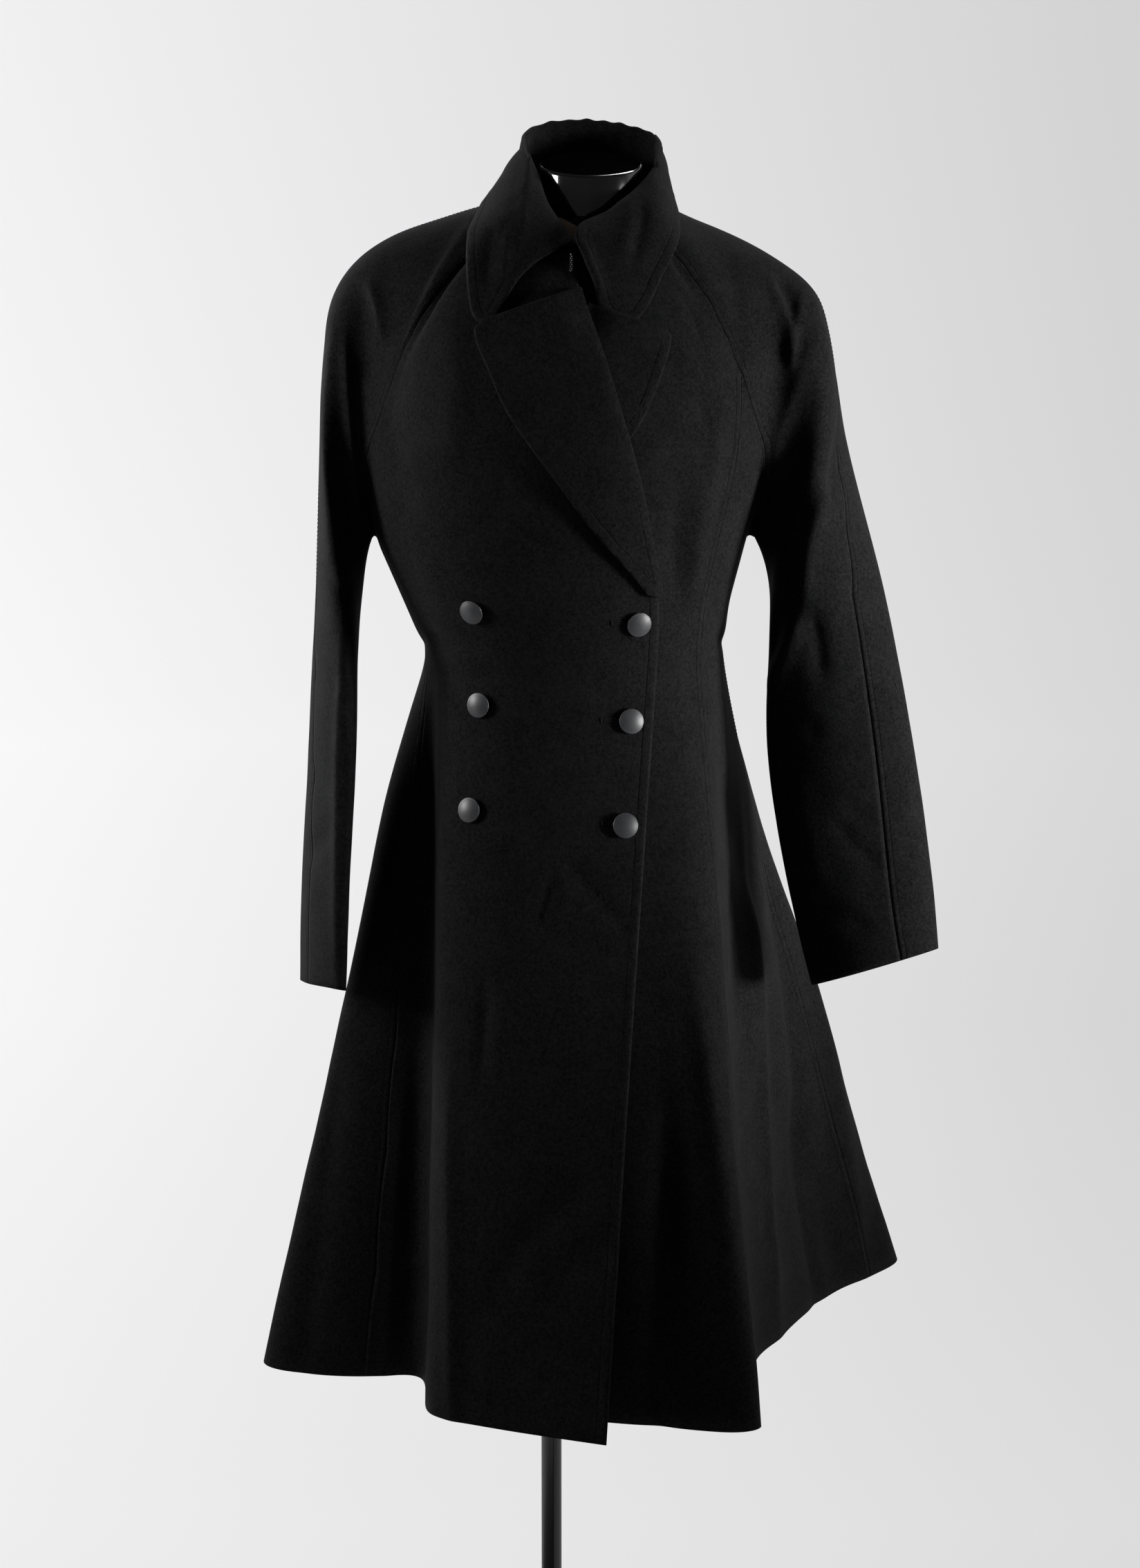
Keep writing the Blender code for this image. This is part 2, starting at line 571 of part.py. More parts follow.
def arm_rows(arm, rows_between):
    """Sections of the arm of a sleeve, below the armpit, each from the underarm seam and back to it."""
    rows = []
    count = (len(arm) - 1) * rows_between
    for i in range(count + 1):
        row = table_curve(arm, i / count)
        under = np.array((row[1], row[2], row[0]))
        over = np.array((row[3], row[4], row[5]))
        dip = np.array((0, 0, row[10]))
        front = (compass(row[8]) - dip) * row[6] * 4 / 3
        back = (compass(row[9]) + dip) * row[7] * 4 / 3
        front_half = half_loop(under, front, front, over, SLEEVE_SPANS)
        back_half = half_loop(over, back, back, under, SLEEVE_SPANS)
        rows.append((front_half, back_half))
    return rows


def make_sleeve(side, points, normals):
    """The front and back halves of one sleeve, sewn along the top line and under the arm."""
    names = column_names()
    if side == "right":
        armpit, line, arm, step = names.index("left_tip"), SHOULDER_LINE_RIGHT, ARM_RIGHT, -1
        armhole = ARMHOLE_RIGHT
    else:
        armpit, line, arm, step = names.index("right_side_a"), SHOULDER_LINE_LEFT, ARM_LEFT, 1
        armhole = ARMHOLE_LEFT
    reach = 7 * COLUMNS_PER_SPAN
    front_columns = [armpit + step * (reach - i) for i in range(reach + 1)]
    back_columns = [armpit - step * (reach - i) for i in range(reach + 1)]
    shoulder = shoulder_rows(points, normals, front_columns, back_columns, line, arm, armhole)
    rows = shoulder + arm_rows(arm, 1)
    front = np.array([row[0] for row in rows])
    back = np.array([row[1] for row in rows])
    whole = np.concatenate([front, back[:, 1:]], axis=1)
    closed_from = len(shoulder) - 1
    for _ in range(SLEEVE_SMOOTHING):
        softened = whole.copy()
        for row in range(closed_from - 4, closed_from + 4):
            softened[row, 1:-1] = (whole[row - 1, 1:-1] + 2 * whole[row, 1:-1] + whole[row + 1, 1:-1]) / 4
        for row in range(closed_from + 1, closed_from + 4):
            softened[row, 0] = (whole[row - 1, 0] + 2 * whole[row, 0] + whole[row + 1, 0]) / 4
            softened[row, -1] = softened[row, 0]
        whole = softened
    whole_normals = grid_normals(whole)
    closed = grid_normals(whole[closed_from:, :-1], wrap=True)
    whole_normals[closed_from:, :-1] = closed
    whole_normals[closed_from:, -1] = closed[:, 0]
    if side == "left":
        whole_normals = -whole_normals
    for i in range(closed_from):
        whole_normals[i, 0] = normals[-1, front_columns[i]]
        whole_normals[i, -1] = normals[-1, back_columns[i]]
    whole_normals = -whole_normals if np.sum(whole_normals[3, SLEEVE_SPANS] * (0, 0, 1)) < 0 else whole_normals
    return whole, whole_normals


def add_sleeve(side, points, normals):
    whole, whole_normals = make_sleeve(side, points, normals)
    middle = SLEEVE_SPANS
    parts = (("front", slice(0, middle + 1)), ("back", slice(middle, None)))
    for half, cut in parts:
        panel = drawn_in(whole[:, cut], ("first", "last"), SLEEVE_SEAM_GAP)
        cloth_wall(f"sleeve_{side}_{half}", panel, whole_normals[:, cut])


def front_surface(x, height):
    """y of the plain front of the coat."""
    middle, half, front, _ = section_at(BODY_SECTIONS, height)
    return front * math.sqrt(max(1 - ((x - middle) / half) ** 2, 0.02))


def make_lapel(outline, base_step, outer_sign, wraps):
    """A lapel leaf folded back from its roll line and lying on the front. Its roll wraps the front's edge
    where that shows."""
    count = (len(outline) - 1) * LAPEL_ROWS_BETWEEN
    points = []
    for i in range(count + 1):
        roll_x, roll_z, outer_x, outer_z = table_curve(outline, i / count)
        width = abs(outer_x - roll_x)
        distances = [0.0, ROLL_REACH * 0.4, ROLL_REACH]
        distances += [ROLL_REACH + (width - ROLL_REACH) * share for share in LAPEL_SHARES]
        line = []
        for distance in distances:
            share = distance / width
            x = roll_x + (outer_x - roll_x) * share
            z = roll_z + (outer_z - roll_z) * share
            turn = min(distance / ROLL_REACH, 1.0) * math.pi / 2 if wraps else math.pi / 2
            stand = base_step + LAYER_STEP * (0.35 + 0.65 * math.sin(turn))
            x -= outer_sign * ROLL_SWELL * math.cos(turn)
            over_collar = COLLAR_TUCK * ease(z, *TUCK_HEIGHTS) * ease(distance, *TUCK_REACH)
            line.append((x, front_surface(x, z) - stand - over_collar, z))
        points.append(line)
    points = np.array(points)
    normals = grid_normals(points)
    return points, normals if normals[2, 4][1] < 0 else -normals


def make_collar():
    """The collar: it rises from the neck seam, folds over and its leaf falls outside."""
    lines = np.array(COLLAR_LINES)
    count = (len(lines) - 1) * 2
    grid = []
    for i in range(count + 1):
        row = table_curve(lines, i / count)
        seam, fold, leaf, swell = row[0:3], row[3:6], row[6:9], row[9]
        out = unit((leaf - fold) * (1, 1, 0))
        leaf_slope = unit(leaf - fold)
        puff = unit(np.array((0, 0, 1.0)) - leaf_slope * leaf_slope[2])
        stand_top = fold - np.array((0, 0, 0.004))
        column = [seam, seam * 0.5 + stand_top * 0.5 - out * 0.001, stand_top]
        column.append(fold + out * 0.0030)
        for share in (0.10, 0.28, 0.50, 0.74, 1.0):
            lift = swell * math.sin(math.pi * min(share * 1.1, 1) ** 0.8)
            column.append(fold + (leaf - fold) * share + out * 0.004 * (1 - share) + puff * lift)
        grid.append(column)
    points = np.array(grid).transpose(1, 0, 2)
    normals = -grid_normals(points)
    return points, normals


def make_form():
    """The torso, the neck block, the pole and the base."""
    bm = bmesh.new()
    rings = []
    for height in FORM_SECTIONS["height"]:
        ring = []
        for k in range(FORM_SEGMENTS):
            ring.append(bm.verts.new(section_point(FORM_SECTIONS, height, 360 * k / FORM_SEGMENTS)))
        rings.append(ring)
    for low, high in zip(rings, rings[1:]):
        for k in range(FORM_SEGMENTS):
            after = (k + 1) % FORM_SEGMENTS
            bm.faces.new((low[k], low[after], high[after], high[k]))
    bm.faces.new(list(reversed(rings[0])))
    bm.faces.new(rings[-1])
    add_object("form_torso", bm, "form_cloth")

    bm = bmesh.new()
    tilt = math.radians(NECK_TILT_DEG)
    bottom = FORM_SECTIONS["height"][-1] + SEAM_GAP
    low_x = (FORM_SECTIONS["left"][-1] + FORM_SECTIONS["right"][-1]) / 2
    rings = []
    for share, scale in ((0.0, 1.0), (0.5, 0.985), (0.94, 0.99), (0.985, 0.975), (1.0, 0.94)):
        ring = []
        for k in range(FORM_SEGMENTS):
            angle = 2 * math.pi * k / FORM_SEGMENTS
            x, y = math.sin(angle) * NECK_RADIUS * scale, -math.cos(angle) * NECK_RADIUS * scale
            flat = Vector((low_x + x, y + 0.002, bottom))
            slope = Vector((NECK_TOP[0] + x, NECK_TOP[1] + y * math.cos(tilt), NECK_TOP[2] + y * math.sin(tilt)))
            ring.append(bm.verts.new(flat.lerp(slope, share)))
        rings.append(ring)
    for low, high in zip(rings, rings[1:]):
        for k in range(FORM_SEGMENTS):
            after = (k + 1) % FORM_SEGMENTS
            bm.faces.new((low[k], low[after], high[after], high[k]))
    bm.faces.new(list(reversed(rings[0])))
    bm.faces.new(rings[-1])
    add_object("form_neck", bm, "neck")


def turned(name, profile, material_name, segments=40):
    """A closed solid turned about Z from an (r, z) profile that starts and ends on the axis."""
    bm = bmesh.new()
    rings = []
    for radius, height in profile:
        if radius == 0:
            rings.append([bm.verts.new((0, 0, height))])
            continue
        ring = []
        for k in range(segments):
            angle = 2 * math.pi * k / segments
            ring.append(bm.verts.new((radius * math.cos(angle), radius * math.sin(angle), height)))
        rings.append(ring)
    for low, high in zip(rings, rings[1:]):
        for k in range(segments):
            after = (k + 1) % segments
            corners = [low[k % len(low)], low[after % len(low)], high[after % len(high)], high[k % len(high)]]
            kept = list(dict.fromkeys(corners))
            bm.faces.new(kept)
    return add_object(name, bm, material_name)


def make_stand():
    rim = 0.004
    turned(
        "stand_base",
        (
            (0, 0),
            (BASE_RADIUS - 0.001, 0),
            (BASE_RADIUS, 0.002),
            (BASE_RADIUS, BASE_THICKNESS - rim),
            (BASE_RADIUS - rim, BASE_THICKNESS),
            (HUB_RADIUS + 0.004, BASE_THICKNESS),
            (HUB_RADIUS, BASE_THICKNESS + 0.004),
            (HUB_RADIUS, HUB_HEIGHT - 0.002),
            (HUB_RADIUS - 0.002, HUB_HEIGHT),
            (0, HUB_HEIGHT),
        ),
        "stand",
        48,
    )
    pole_bottom = HUB_HEIGHT + SEAM_GAP
    pole_top = FORM_SECTIONS["height"][0] - SEAM_GAP
    turned(
        "stand_pole",
        ((0, pole_bottom), (POLE_RADIUS, pole_bottom), (POLE_RADIUS, pole_top), (0, pole_top)),
        "stand",
        24,
    )


def surface_at(points, normals, x, z):
    """The point and normal of a grid where a level line along Y at (x, z) meets it."""
    rows, columns = points.shape[:2]
    best = None
    for r in range(rows - 1):
        for c in range(columns - 1):
            for corners in (((r, c), (r, c + 1), (r + 1, c + 1)), ((r, c), (r + 1, c + 1), (r + 1, c))):
                a, b, d = (points[corner][[0, 2]] for corner in corners)
                frame = np.array((b - a, d - a)).T
                if abs(np.linalg.det(frame)) < 1e-12:
                    continue
                u, v = np.linalg.solve(frame, np.array((x, z)) - a)
                if u < -1e-6 or v < -1e-6 or u + v > 1 + 1e-6:
                    continue
                weights = (1 - u - v, u, v)
                point = sum(w * points[corner] for w, corner in zip(weights, corners))
                normal = unit(sum(w * normals[corner] for w, corner in zip(weights, corners)))
                if best is None or point[1] < best[0][1]:
                    best = (point, normal)
    return best


def stand_on(item, point, normal, stand_off):
    """Moves an item made at the origin, facing +Z, onto the cloth and turns it to face outwards."""
    item.location = Vector(point + normal * stand_off)
    item.rotation_mode = "QUATERNION"
    item.rotation_quaternion = Vector(normal).to_track_quat("Z", "Y")


def make_hook(front_points, front_normals):
    across, up, thick = HOOK_SIZE
    bm = bmesh.new()
    bmesh.ops.create_cube(bm, size=1.0)
    bmesh.ops.scale(bm, vec=(across, up, thick), verts=bm.verts)
    bmesh.ops.translate(bm, vec=(0, 0, thick / 2), verts=bm.verts)
    corners = [edge for edge in bm.edges if abs(edge.verts[0].co.z - edge.verts[1].co.z) > thick / 2]
    bmesh.ops.bevel(bm, geom=corners, offset=across * 0.4, segments=3, profile=0.5, affect="EDGES", material=-1)
    item = add_object("neck_hook", bm, "hook")
    point, normal = surface_at(front_points, front_normals, *HOOK_PLACE)
    stand_on(item, point, normal, WALL_THICKNESS / 2 + SEAM_GAP)


def make_buttons(front_points, front_normals):
    radius, thickness = BUTTON_DIAMETER / 2, BUTTON_THICKNESS
    shank, lift = radius * 0.38, 0.0016
    profile = (
        (0, 0),
        (shank, 0),
        (shank, lift),
        (radius * 0.90, lift + 0.0002),
        (radius, lift + thickness * 0.30),
        (radius * 0.96, lift + thickness * 0.52),
        (radius * 0.88, lift + thickness * 0.56),
        (radius * 0.55, lift + thickness * 0.88),
        (0, lift + thickness),
    )
    for name, x, z in BUTTONS:
        point, normal = surface_at(front_points, front_normals, x, z)
        item = turned(name, profile, "button", 24)
        stand_on(item, point, normal, WALL_THICKNESS / 2 + SEAM_GAP + 0.0002)


def main():
    clear_scene()
    points, normals = body_grid()
    make_body(points, normals)
    for side in ("right", "left"):
        add_sleeve(side, points, normals)
    lapel, lapel_normals = make_lapel(LAPEL_RIGHT, LAYER_STEP * 2 + ROLL_ROOM, -1, True)
    cloth_wall("lapel_right", lapel, lapel_normals)
    lapel, lapel_normals = make_lapel(LAPEL_LEFT, 0.0, 1, False)
    cloth_wall("lapel_left", lapel, lapel_normals)
    collar, collar_normals = make_collar()
    cloth_wall("collar", collar, collar_normals)
    make_form()
    make_stand()
    last = column_names().index("side_front_right")
    make_buttons(points[:, : last + 1], normals[:, : last + 1])
    make_hook(points[:, : last + 1], normals[:, : last + 1])


main()
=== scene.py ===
"""Looks of a black double-breasted wool coat on a limbless dress form.

The cloth pieces start from the outer faces of the frame's walls. They are sewn together, smoothed, creased
and cut apart again, so that the creases run on across the seams. Metres, +Z up, the wearer's front at -Y.
"""

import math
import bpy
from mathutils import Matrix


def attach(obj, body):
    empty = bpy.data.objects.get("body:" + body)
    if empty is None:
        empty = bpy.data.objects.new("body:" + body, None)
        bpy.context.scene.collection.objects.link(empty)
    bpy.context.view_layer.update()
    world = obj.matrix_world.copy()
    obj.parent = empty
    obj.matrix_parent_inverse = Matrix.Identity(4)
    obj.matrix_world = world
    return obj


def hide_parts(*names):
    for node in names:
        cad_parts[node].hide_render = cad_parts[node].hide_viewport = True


bl_info = {
    "name": "Wool coat on dress form",
    "version": (1, 0, 0),
    "blender": (4, 5, 0),
    "location": "View3D > Sidebar > Coat",
    "description": "Dresses the coat's frame with its cloth, sewing, buttons, form and stand",
    "category": "Object",
}

import bmesh
import bpy
import numpy as np
from mathutils import Matrix, Vector, noise
from mathutils.bvhtree import BVHTree
from mathutils.kdtree import KDTree

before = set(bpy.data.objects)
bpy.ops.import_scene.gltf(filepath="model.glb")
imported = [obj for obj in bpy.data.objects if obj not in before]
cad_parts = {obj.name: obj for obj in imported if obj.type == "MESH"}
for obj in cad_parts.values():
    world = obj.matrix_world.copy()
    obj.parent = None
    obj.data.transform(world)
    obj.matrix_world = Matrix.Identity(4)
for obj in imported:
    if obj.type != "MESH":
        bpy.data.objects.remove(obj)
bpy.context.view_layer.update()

CLOTH_WALL = 0.002  # the frame's walls
BODY_PANELS = ("front_right", "side_right", "back_right", "back_left", "side_left", "front_left")
SLEEVE_PANELS = ("sleeve_right_front", "sleeve_right_back", "sleeve_left_front", "sleeve_left_back")
SEWN_PANELS = BODY_PANELS + SLEEVE_PANELS
BUTTONS = [f"button_{side}_{row}" for side in ("right", "left") for row in ("top", "middle", "low")]
# The finish of each piece of the form and its stand
FORM_PARTS = {"form_torso": "form_cloth", "form_neck": "neck", "stand_pole": "stand", "stand_base": "stand"}

SEAM_REACH = 0.0034  # panels' edges are sewn together over gaps up to this
FAR_MM = 30.0  # distances from a seam or an edge are kept up to this
STITCH_SIZE = (0.00030, 0.00024)  # half the width and half the height of a stitch
STITCH_LIFT = 0.00012
STITCH_PITCH = 1.28  # from one stitch to the next, in stitch lengths
WAVES = ((9.0, 0.0008), (27.0, 0.00022))  # the small waves of worn cloth: how many to a metre, and how high

# The middle line of what each piece goes round: height, x, y
BODY_AXIS = ((0.4, 0.024, 0.0), (1.6, 0.024, 0.0))
NECK_AXIS = ((1.3, 0.037, 0.0), (1.6, 0.037, 0.01))
RIGHT_ARM_AXIS = ((0.75, -0.215, -0.07), (1.15, -0.195, -0.005), (1.40, -0.120, 0.0), (1.50, -0.04, 0.0))
LEFT_ARM_AXIS = ((0.75, 0.300, -0.03), (1.15, 0.245, -0.010), (1.40, 0.160, 0.0), (1.50, 0.08, 0.0))
ARM_AXES = {"sleeve_right": RIGHT_ARM_AXIS, "sleeve_left": LEFT_ARM_AXIS}

# Where each lapel's tip points, in X and Z, and the radius that it is rounded to
LAPEL_TIPS = {"lapel_right": ((-0.7, 0.7), 0.012), "lapel_left": ((0.7, 0.7), 0.011)}

# The topstitching of the left lapel ends at this height, and that of the right one fades between these two
LEFT_STITCHES_END = 1.366
RIGHT_STITCHES_FADE = (1.19, 1.25)

# The tapes on the form's cover: one above this height, which falls towards +X, and one between two heights
TAPE_ABOVE = 1.4812
TAPE_BELOW = 1.4535
TAPE_FOOT = 1.40

# The cloth's creases, by the part that they run over and the side they show on. Each row is how far the
# crease stands out (or sinks, when negative), how wide it is, and the stops of its line, all in mm: x and z
# on the front and back, y and z on a side
CREASES = {
    ("body", "front"): (
        (-3.9, 6, 7, 913, 40, 878, 77, 835), (-3.0, 6, 5, 897, -3, 868, -14, 839),
        (-5.0, 14, 66, 561, 24, 552, -19, 526), (-4.8, 17, 65, 647, -3, 592, -71, 503),
        (4.2, 9, -92, 754, -91, 588, -88, 330), (-3.0, 7, -59, 807, -60, 752, -64, 696),
        (-5.4, 14, 104, 730, 101, 562, 96, 300), (5.4, 11, 125, 840, 156, 624, 195, 320),
        (-4.8, 8, 170, 900, 175, 806, 178, 700), (4.8, 8, 190, 862, 191, 758, 192, 640),
        (4.8, 20, 208, 827, 221, 702, 240, 575), (-5.4, 16, 230, 636, 256, 535, 300, 400),
        (3.4, 12, 209, 522, 216, 460, 222, 340), (-3.7, 9, 158, 982, 172, 909, 203, 801),
        (2.4, 16, -90, 1412, -83, 1328, -91, 1231), (3.1, 11, 126, 1283, 133, 1216, 124, 1137),
        (3.4, 9, 156, 1331, 143, 1233, 134, 1181, 122, 1105), (-2.7, 12, 117, 1252, 111, 1186, 119, 1118),
        (-2.2, 8, -130, 1104, -98, 1097, -56, 1086), (-1.9, 7, -124, 1048, -92, 1065, -43, 1063),
        (2.5, 9, -131, 741, -144, 591, -160, 330), (-3.4, 14, -191, 738, -213, 587, -245, 330),
    ),
    ("arm_right", "front"): (
        (4.8, 6, -187, 1400, -184, 1318, -179, 1240, -177, 1159),
        (3.4, 6, -188, 1142, -194, 986, -195, 874, -194, 740), (3.7, 6, -166, 1426, -157, 1399, -149, 1360),
        (-3.1, 9, -175, 1417, -168, 1361, -163, 1316), (-2.4, 8, -227, 983, -216, 959, -202, 943),
        (-2.5, 8, -233, 878, -216, 905, -199, 930), (-2.4, 7, -209, 1166, -196, 1143, -180, 1127),
        (-2.0, 8, -227, 1068, -210, 1056, -188, 1046),
    ),
    ("arm_left", "front"): (
        (4.1, 6, 195, 1430, 214, 1390, 220, 1335), (3.7, 6, 232, 1420, 222, 1375, 216, 1327),
        (-3.7, 8, 205, 1426, 218, 1398, 222, 1374), (4.1, 11, 245, 1390, 223, 1324, 207, 1277, 202, 1225),
        (-5.4, 8, 270, 1300, 263, 1261, 255, 1214), (4.8, 8, 256, 1250, 236, 1181, 230, 1115),
        (5.8, 7, 232, 1127, 214, 1074, 201, 1028), (-4.4, 8, 217, 1145, 207, 1109, 201, 1065),
        (-4.1, 9, 238, 1127, 246, 1092, 250, 1050), (-2.5, 8, 258, 931, 284, 899, 314, 874),
        (-2.5, 9, 234, 848, 266, 836, 305, 823), (-2.0, 7, 268, 945, 283, 931, 302, 925),
        (-2.4, 9, 214, 1034, 232, 1017, 254, 1004), (2.4, 12, 218, 990, 236, 916, 255, 841),
    ),
    ("body", "back"): (
        (-7.6, 17, -62, 1010, -84, 760, -112, 300), (6.8, 15, -24, 960, -33, 700, -46, 300),
        (-8.5, 19, 12, 1020, 17, 740, 25, 300), (7.6, 17, 60, 940, 78, 680, 104, 300),
        (-6.8, 15, 100, 1000, 128, 700, 166, 300), (5.8, 18, 150, 900, 190, 620, 240, 300),
        (5.4, 13, -112, 940, -142, 690, -182, 300), (-2.7, 8, -104, 1108, -68, 1094, -20, 1090),
        (-2.4, 7, 150, 1104, 118, 1088, 78, 1086), (-2.2, 8, -88, 1046, -50, 1060, -12, 1062),
        (3.1, 15, -96, 1400, -74, 1300, -62, 1200), (2.7, 16, 150, 1390, 128, 1290, 112, 1190),
        (-3.1, 12, -40, 1370, -30, 1280, -44, 1190),
    ),
    ("body", "left"): (
        (-6.8, 14, 60, 950, 92, 720, 130, 320), (6.1, 16, 112, 900, 165, 640, 215, 340),
        (4.4, 12, 10, 980, 18, 760, 22, 380), (-2.5, 8, -60, 1100, -20, 1086, 30, 1084),
    ),
    ("body", "right"): (
        (-6.1, 14, -10, 960, -18, 700, -24, 320), (5.8, 13, 48, 900, 62, 660, 84, 320),
        (-5.1, 14, 92, 880, 116, 640, 150, 320), (-2.4, 8, -50, 1096, -14, 1084, 34, 1090),
    ),
    ("arm_right", "back"): (
        (-3.7, 8, -236, 1080, -214, 1046, -190, 1034), (-3.1, 8, -238, 1020, -216, 1004, -192, 1008),
        (-2.7, 9, -222, 1180, -200, 1150, -184, 1144), (2.7, 10, -214, 1390, -206, 1280, -212, 1170),
    ),
    ("arm_left", "back"): (
        (-4.1, 8, 296, 1090, 268, 1056, 238, 1040), (-3.1, 8, 302, 1030, 274, 1010, 246, 1012),
        (-2.7, 9, 278, 1190, 254, 1160, 232, 1152), (3.1, 10, 262, 1390, 268, 1280, 284, 1150),
        (-2.4, 9, 318, 900, 290, 880, 262, 884),
    ),
    ("collar", "front"): (
        (2.4, 5, -34, 1475, -38, 1449, -41, 1418), (1.9, 5, -21, 1498, -25, 1467, -28, 1442),
        (-1.9, 6, -50, 1477, -55, 1437, -56, 1406), (2.9, 5, 28, 1460, 38, 1433, 50, 1405),
        (1.9, 7, 76, 1500, 70, 1467, 62, 1436), (-1.9, 6, 85, 1494, 80, 1458, 70, 1425),
    ),
    ("collar", "back"): (
        (2.6, 8, -8, 1552, -12, 1510, -16, 1450), (-2.2, 8, 22, 1552, 22, 1505, 20, 1450),
        (2.4, 9, 58, 1552, 62, 1500, 66, 1440), (-2.1, 8, 88, 1545, 96, 1500, 102, 1450),
    ),
}
SIDES = {"front": (1, -1.0), "back": (1, 1.0), "left": (0, 1.0), "right": (0, -1.0)}
PARTS = {"body": BODY_PANELS, "arm_right": SLEEVE_PANELS[:2], "arm_left": SLEEVE_PANELS[2:]}

# The collar's leaf draws in at its sides: height, and how far on the wearer's right and left, in mm
COLLAR_SIDES = (
    (1382, 1, 8), (1440, 5, 8), (1465, 7, 8), (1486, 15, 10),
    (1516, 20, 14), (1538, 21, 13), (1547, 15, 8), (1560, 2, 0),
)
# Pulls on the front of the collar: x, z, reach, and the way moved in x and z, in mm
COLLAR_PULLS = (
    (5, 1461, 20, 15, -4), (-19, 1441, 25, -3, -11), (44, 1460, 20, -15, 3), (47, 1434, 19, -9, 0),
    (51, 1406, 18, -5, 0), (100, 1422, 24, -5, 0), (88, 1393, 18, -5, -1),
)
# The crimps where the collar folds over at the back: x and height, in mm
COLLAR_CRIMPS = ((-18, 0.9), (0, 1.5), (17, 0.8), (34, 1.9), (50, 1.5), (65, 1.9), (81, 1.4), (94, 1.3), (104, 0.8))
CRIMP_WIDTH = 0.0052
# The buttonholes' middles: x and z
BUTTONHOLES = ((0.0662, 1.1193), (0.0573, 1.0298), (0.0584, 0.9382))

CAMERA_PLACE = (0.018, -3.15, 1.485)
SOFTBOX_SIZE = (0.5, 0.9)
LAMP_WHITE = (1.0, 0.995, 0.985)


def hex_to_linear(colour):
    """An sRGB hex colour, such as "1a1a1c", as a linear RGBA."""
    parts = [int(colour[i : i + 2], 16) / 255 for i in (0, 2, 4)]
    return (*[p / 12.92 if p <= 0.04045 else ((p + 0.055) / 1.055) ** 2.4 for p in parts], 1.0)


def metres(name, text, size):
    """A length that a user may change."""
    return bpy.props.FloatProperty(name=name, description=text, default=size, unit="LENGTH")


def hex_colour(name, text, tone):
    """An sRGB hex colour that a user may change."""
    return bpy.props.StringProperty(name=name, description=text, default=tone)


class CoatCloth(bpy.types.PropertyGroup):
    """Sizes and colours of the wool cloth and its sewing."""

    thickness: metres("Thickness", "Thickness of the wool", 0.0021)
    levels: bpy.props.IntProperty(
        name="Smoothing", description="Subdivision levels of the sewn cloth", default=3, min=1, max=3
    )
    nap: metres("Nap", "Grain of the milled nap, drawn coarse enough to show", 0.0011)
    edge_stitch: metres("Edge stitch", "Distance of the topstitching from an edge", 0.0095)
    seam_stitch: metres("Seam stitch", "Distance of the topstitching from a seam", 0.0065)
    stitch_length: metres("Stitch length", "Length of one stitch", 0.0030)
    dark: hex_colour("Wool, dark", "sRGB colour of the wool", "090909")
    light: hex_colour("Wool, light", "sRGB colour of the raised nap", "1b1b1c")


class CoatHard(bpy.types.PropertyGroup):
    """Sizes and colours of the buttons, the form and its stand."""

    button_width: metres("Button width", "Diameter of a button", 0.0228)
    button: hex_colour("Button", "sRGB colour of the buttons", "2b2c2e")
    neck: hex_colour("Neck", "sRGB colour of the neck block", "0a0a0b")
    cover: hex_colour("Cover", "sRGB colour of the form's cover", "8b7d6b")
    stand: hex_colour("Stand", "sRGB colour of the stand", "17171a")


class CoatStage(bpy.types.PropertyGroup):
    """The camera, the backdrop and the lights."""

    lens: bpy.props.FloatProperty(name="Lens", description="Focal length in mm", default=78.0)
    pitch: bpy.props.FloatProperty(name="Pitch", description="How far the camera looks down, in degrees", default=9.63)
    # The backdrop's colour is the colour of its painted glow
    backdrop: hex_colour("Backdrop", "sRGB colour of the backdrop", "fbfafb")
    key: bpy.props.FloatProperty(name="Key", description="Power of the light on the wearer's right", default=6.0)
    fill: bpy.props.FloatProperty(name="Fill", description="Power of the light on the wearer's left", default=5.5)


def add_node(tree, kind, settings=None, links=None, out=0):
    """Adds a shader node, sets its fields, sockets or colour stops, links its inputs from other nodes'
    sockets, and returns one of its outputs."""
    node = tree.nodes.new("ShaderNode" + kind)
    for key, value in (settings or {}).items():
        if key == "stops":
            for stop, (place, tone) in zip(node.color_ramp.elements, value):
                stop.position, stop.color = place, hex_to_linear(tone)
        elif isinstance(key, str) and hasattr(node, key):
            setattr(node, key, value)
        else:
            node.inputs[key].default_value = value
    for key, socket in (links or {}).items():
        tree.links.new(socket, node.inputs[key])
    return node.outputs[out] if node.outputs else None


def shade(tree, settings, links):
    """Ends a material in its shader."""
    shader = add_node(tree, "BsdfPrincipled", settings, links)
    add_node(tree, "OutputMaterial", None, {"Surface": shader})


def near(tree, value, place, width):
    """1 where a value is at a place, falling smoothly to 0 a width away."""
    away = add_node(tree, "Math", {"operation": "SUBTRACT", 1: place}, {0: value})
    size = add_node(tree, "Math", {"operation": "ABSOLUTE"}, {0: away})
    fall = {"interpolation_type": "SMOOTHSTEP", "From Max": width, "To Min": 1.0, "To Max": 0.0}
    return add_node(tree, "MapRange", fall, {"Value": size})


def weighted(tree, parts):
    """The sum of sockets, each times its weight."""
    total = None
    for socket, weight in parts:
        links = {0: socket} if total is None else {0: socket, 2: total}
        total = add_node(tree, "Math", {"operation": "MULTIPLY_ADD", 1: weight, 2: 0.0}, links)
    return total


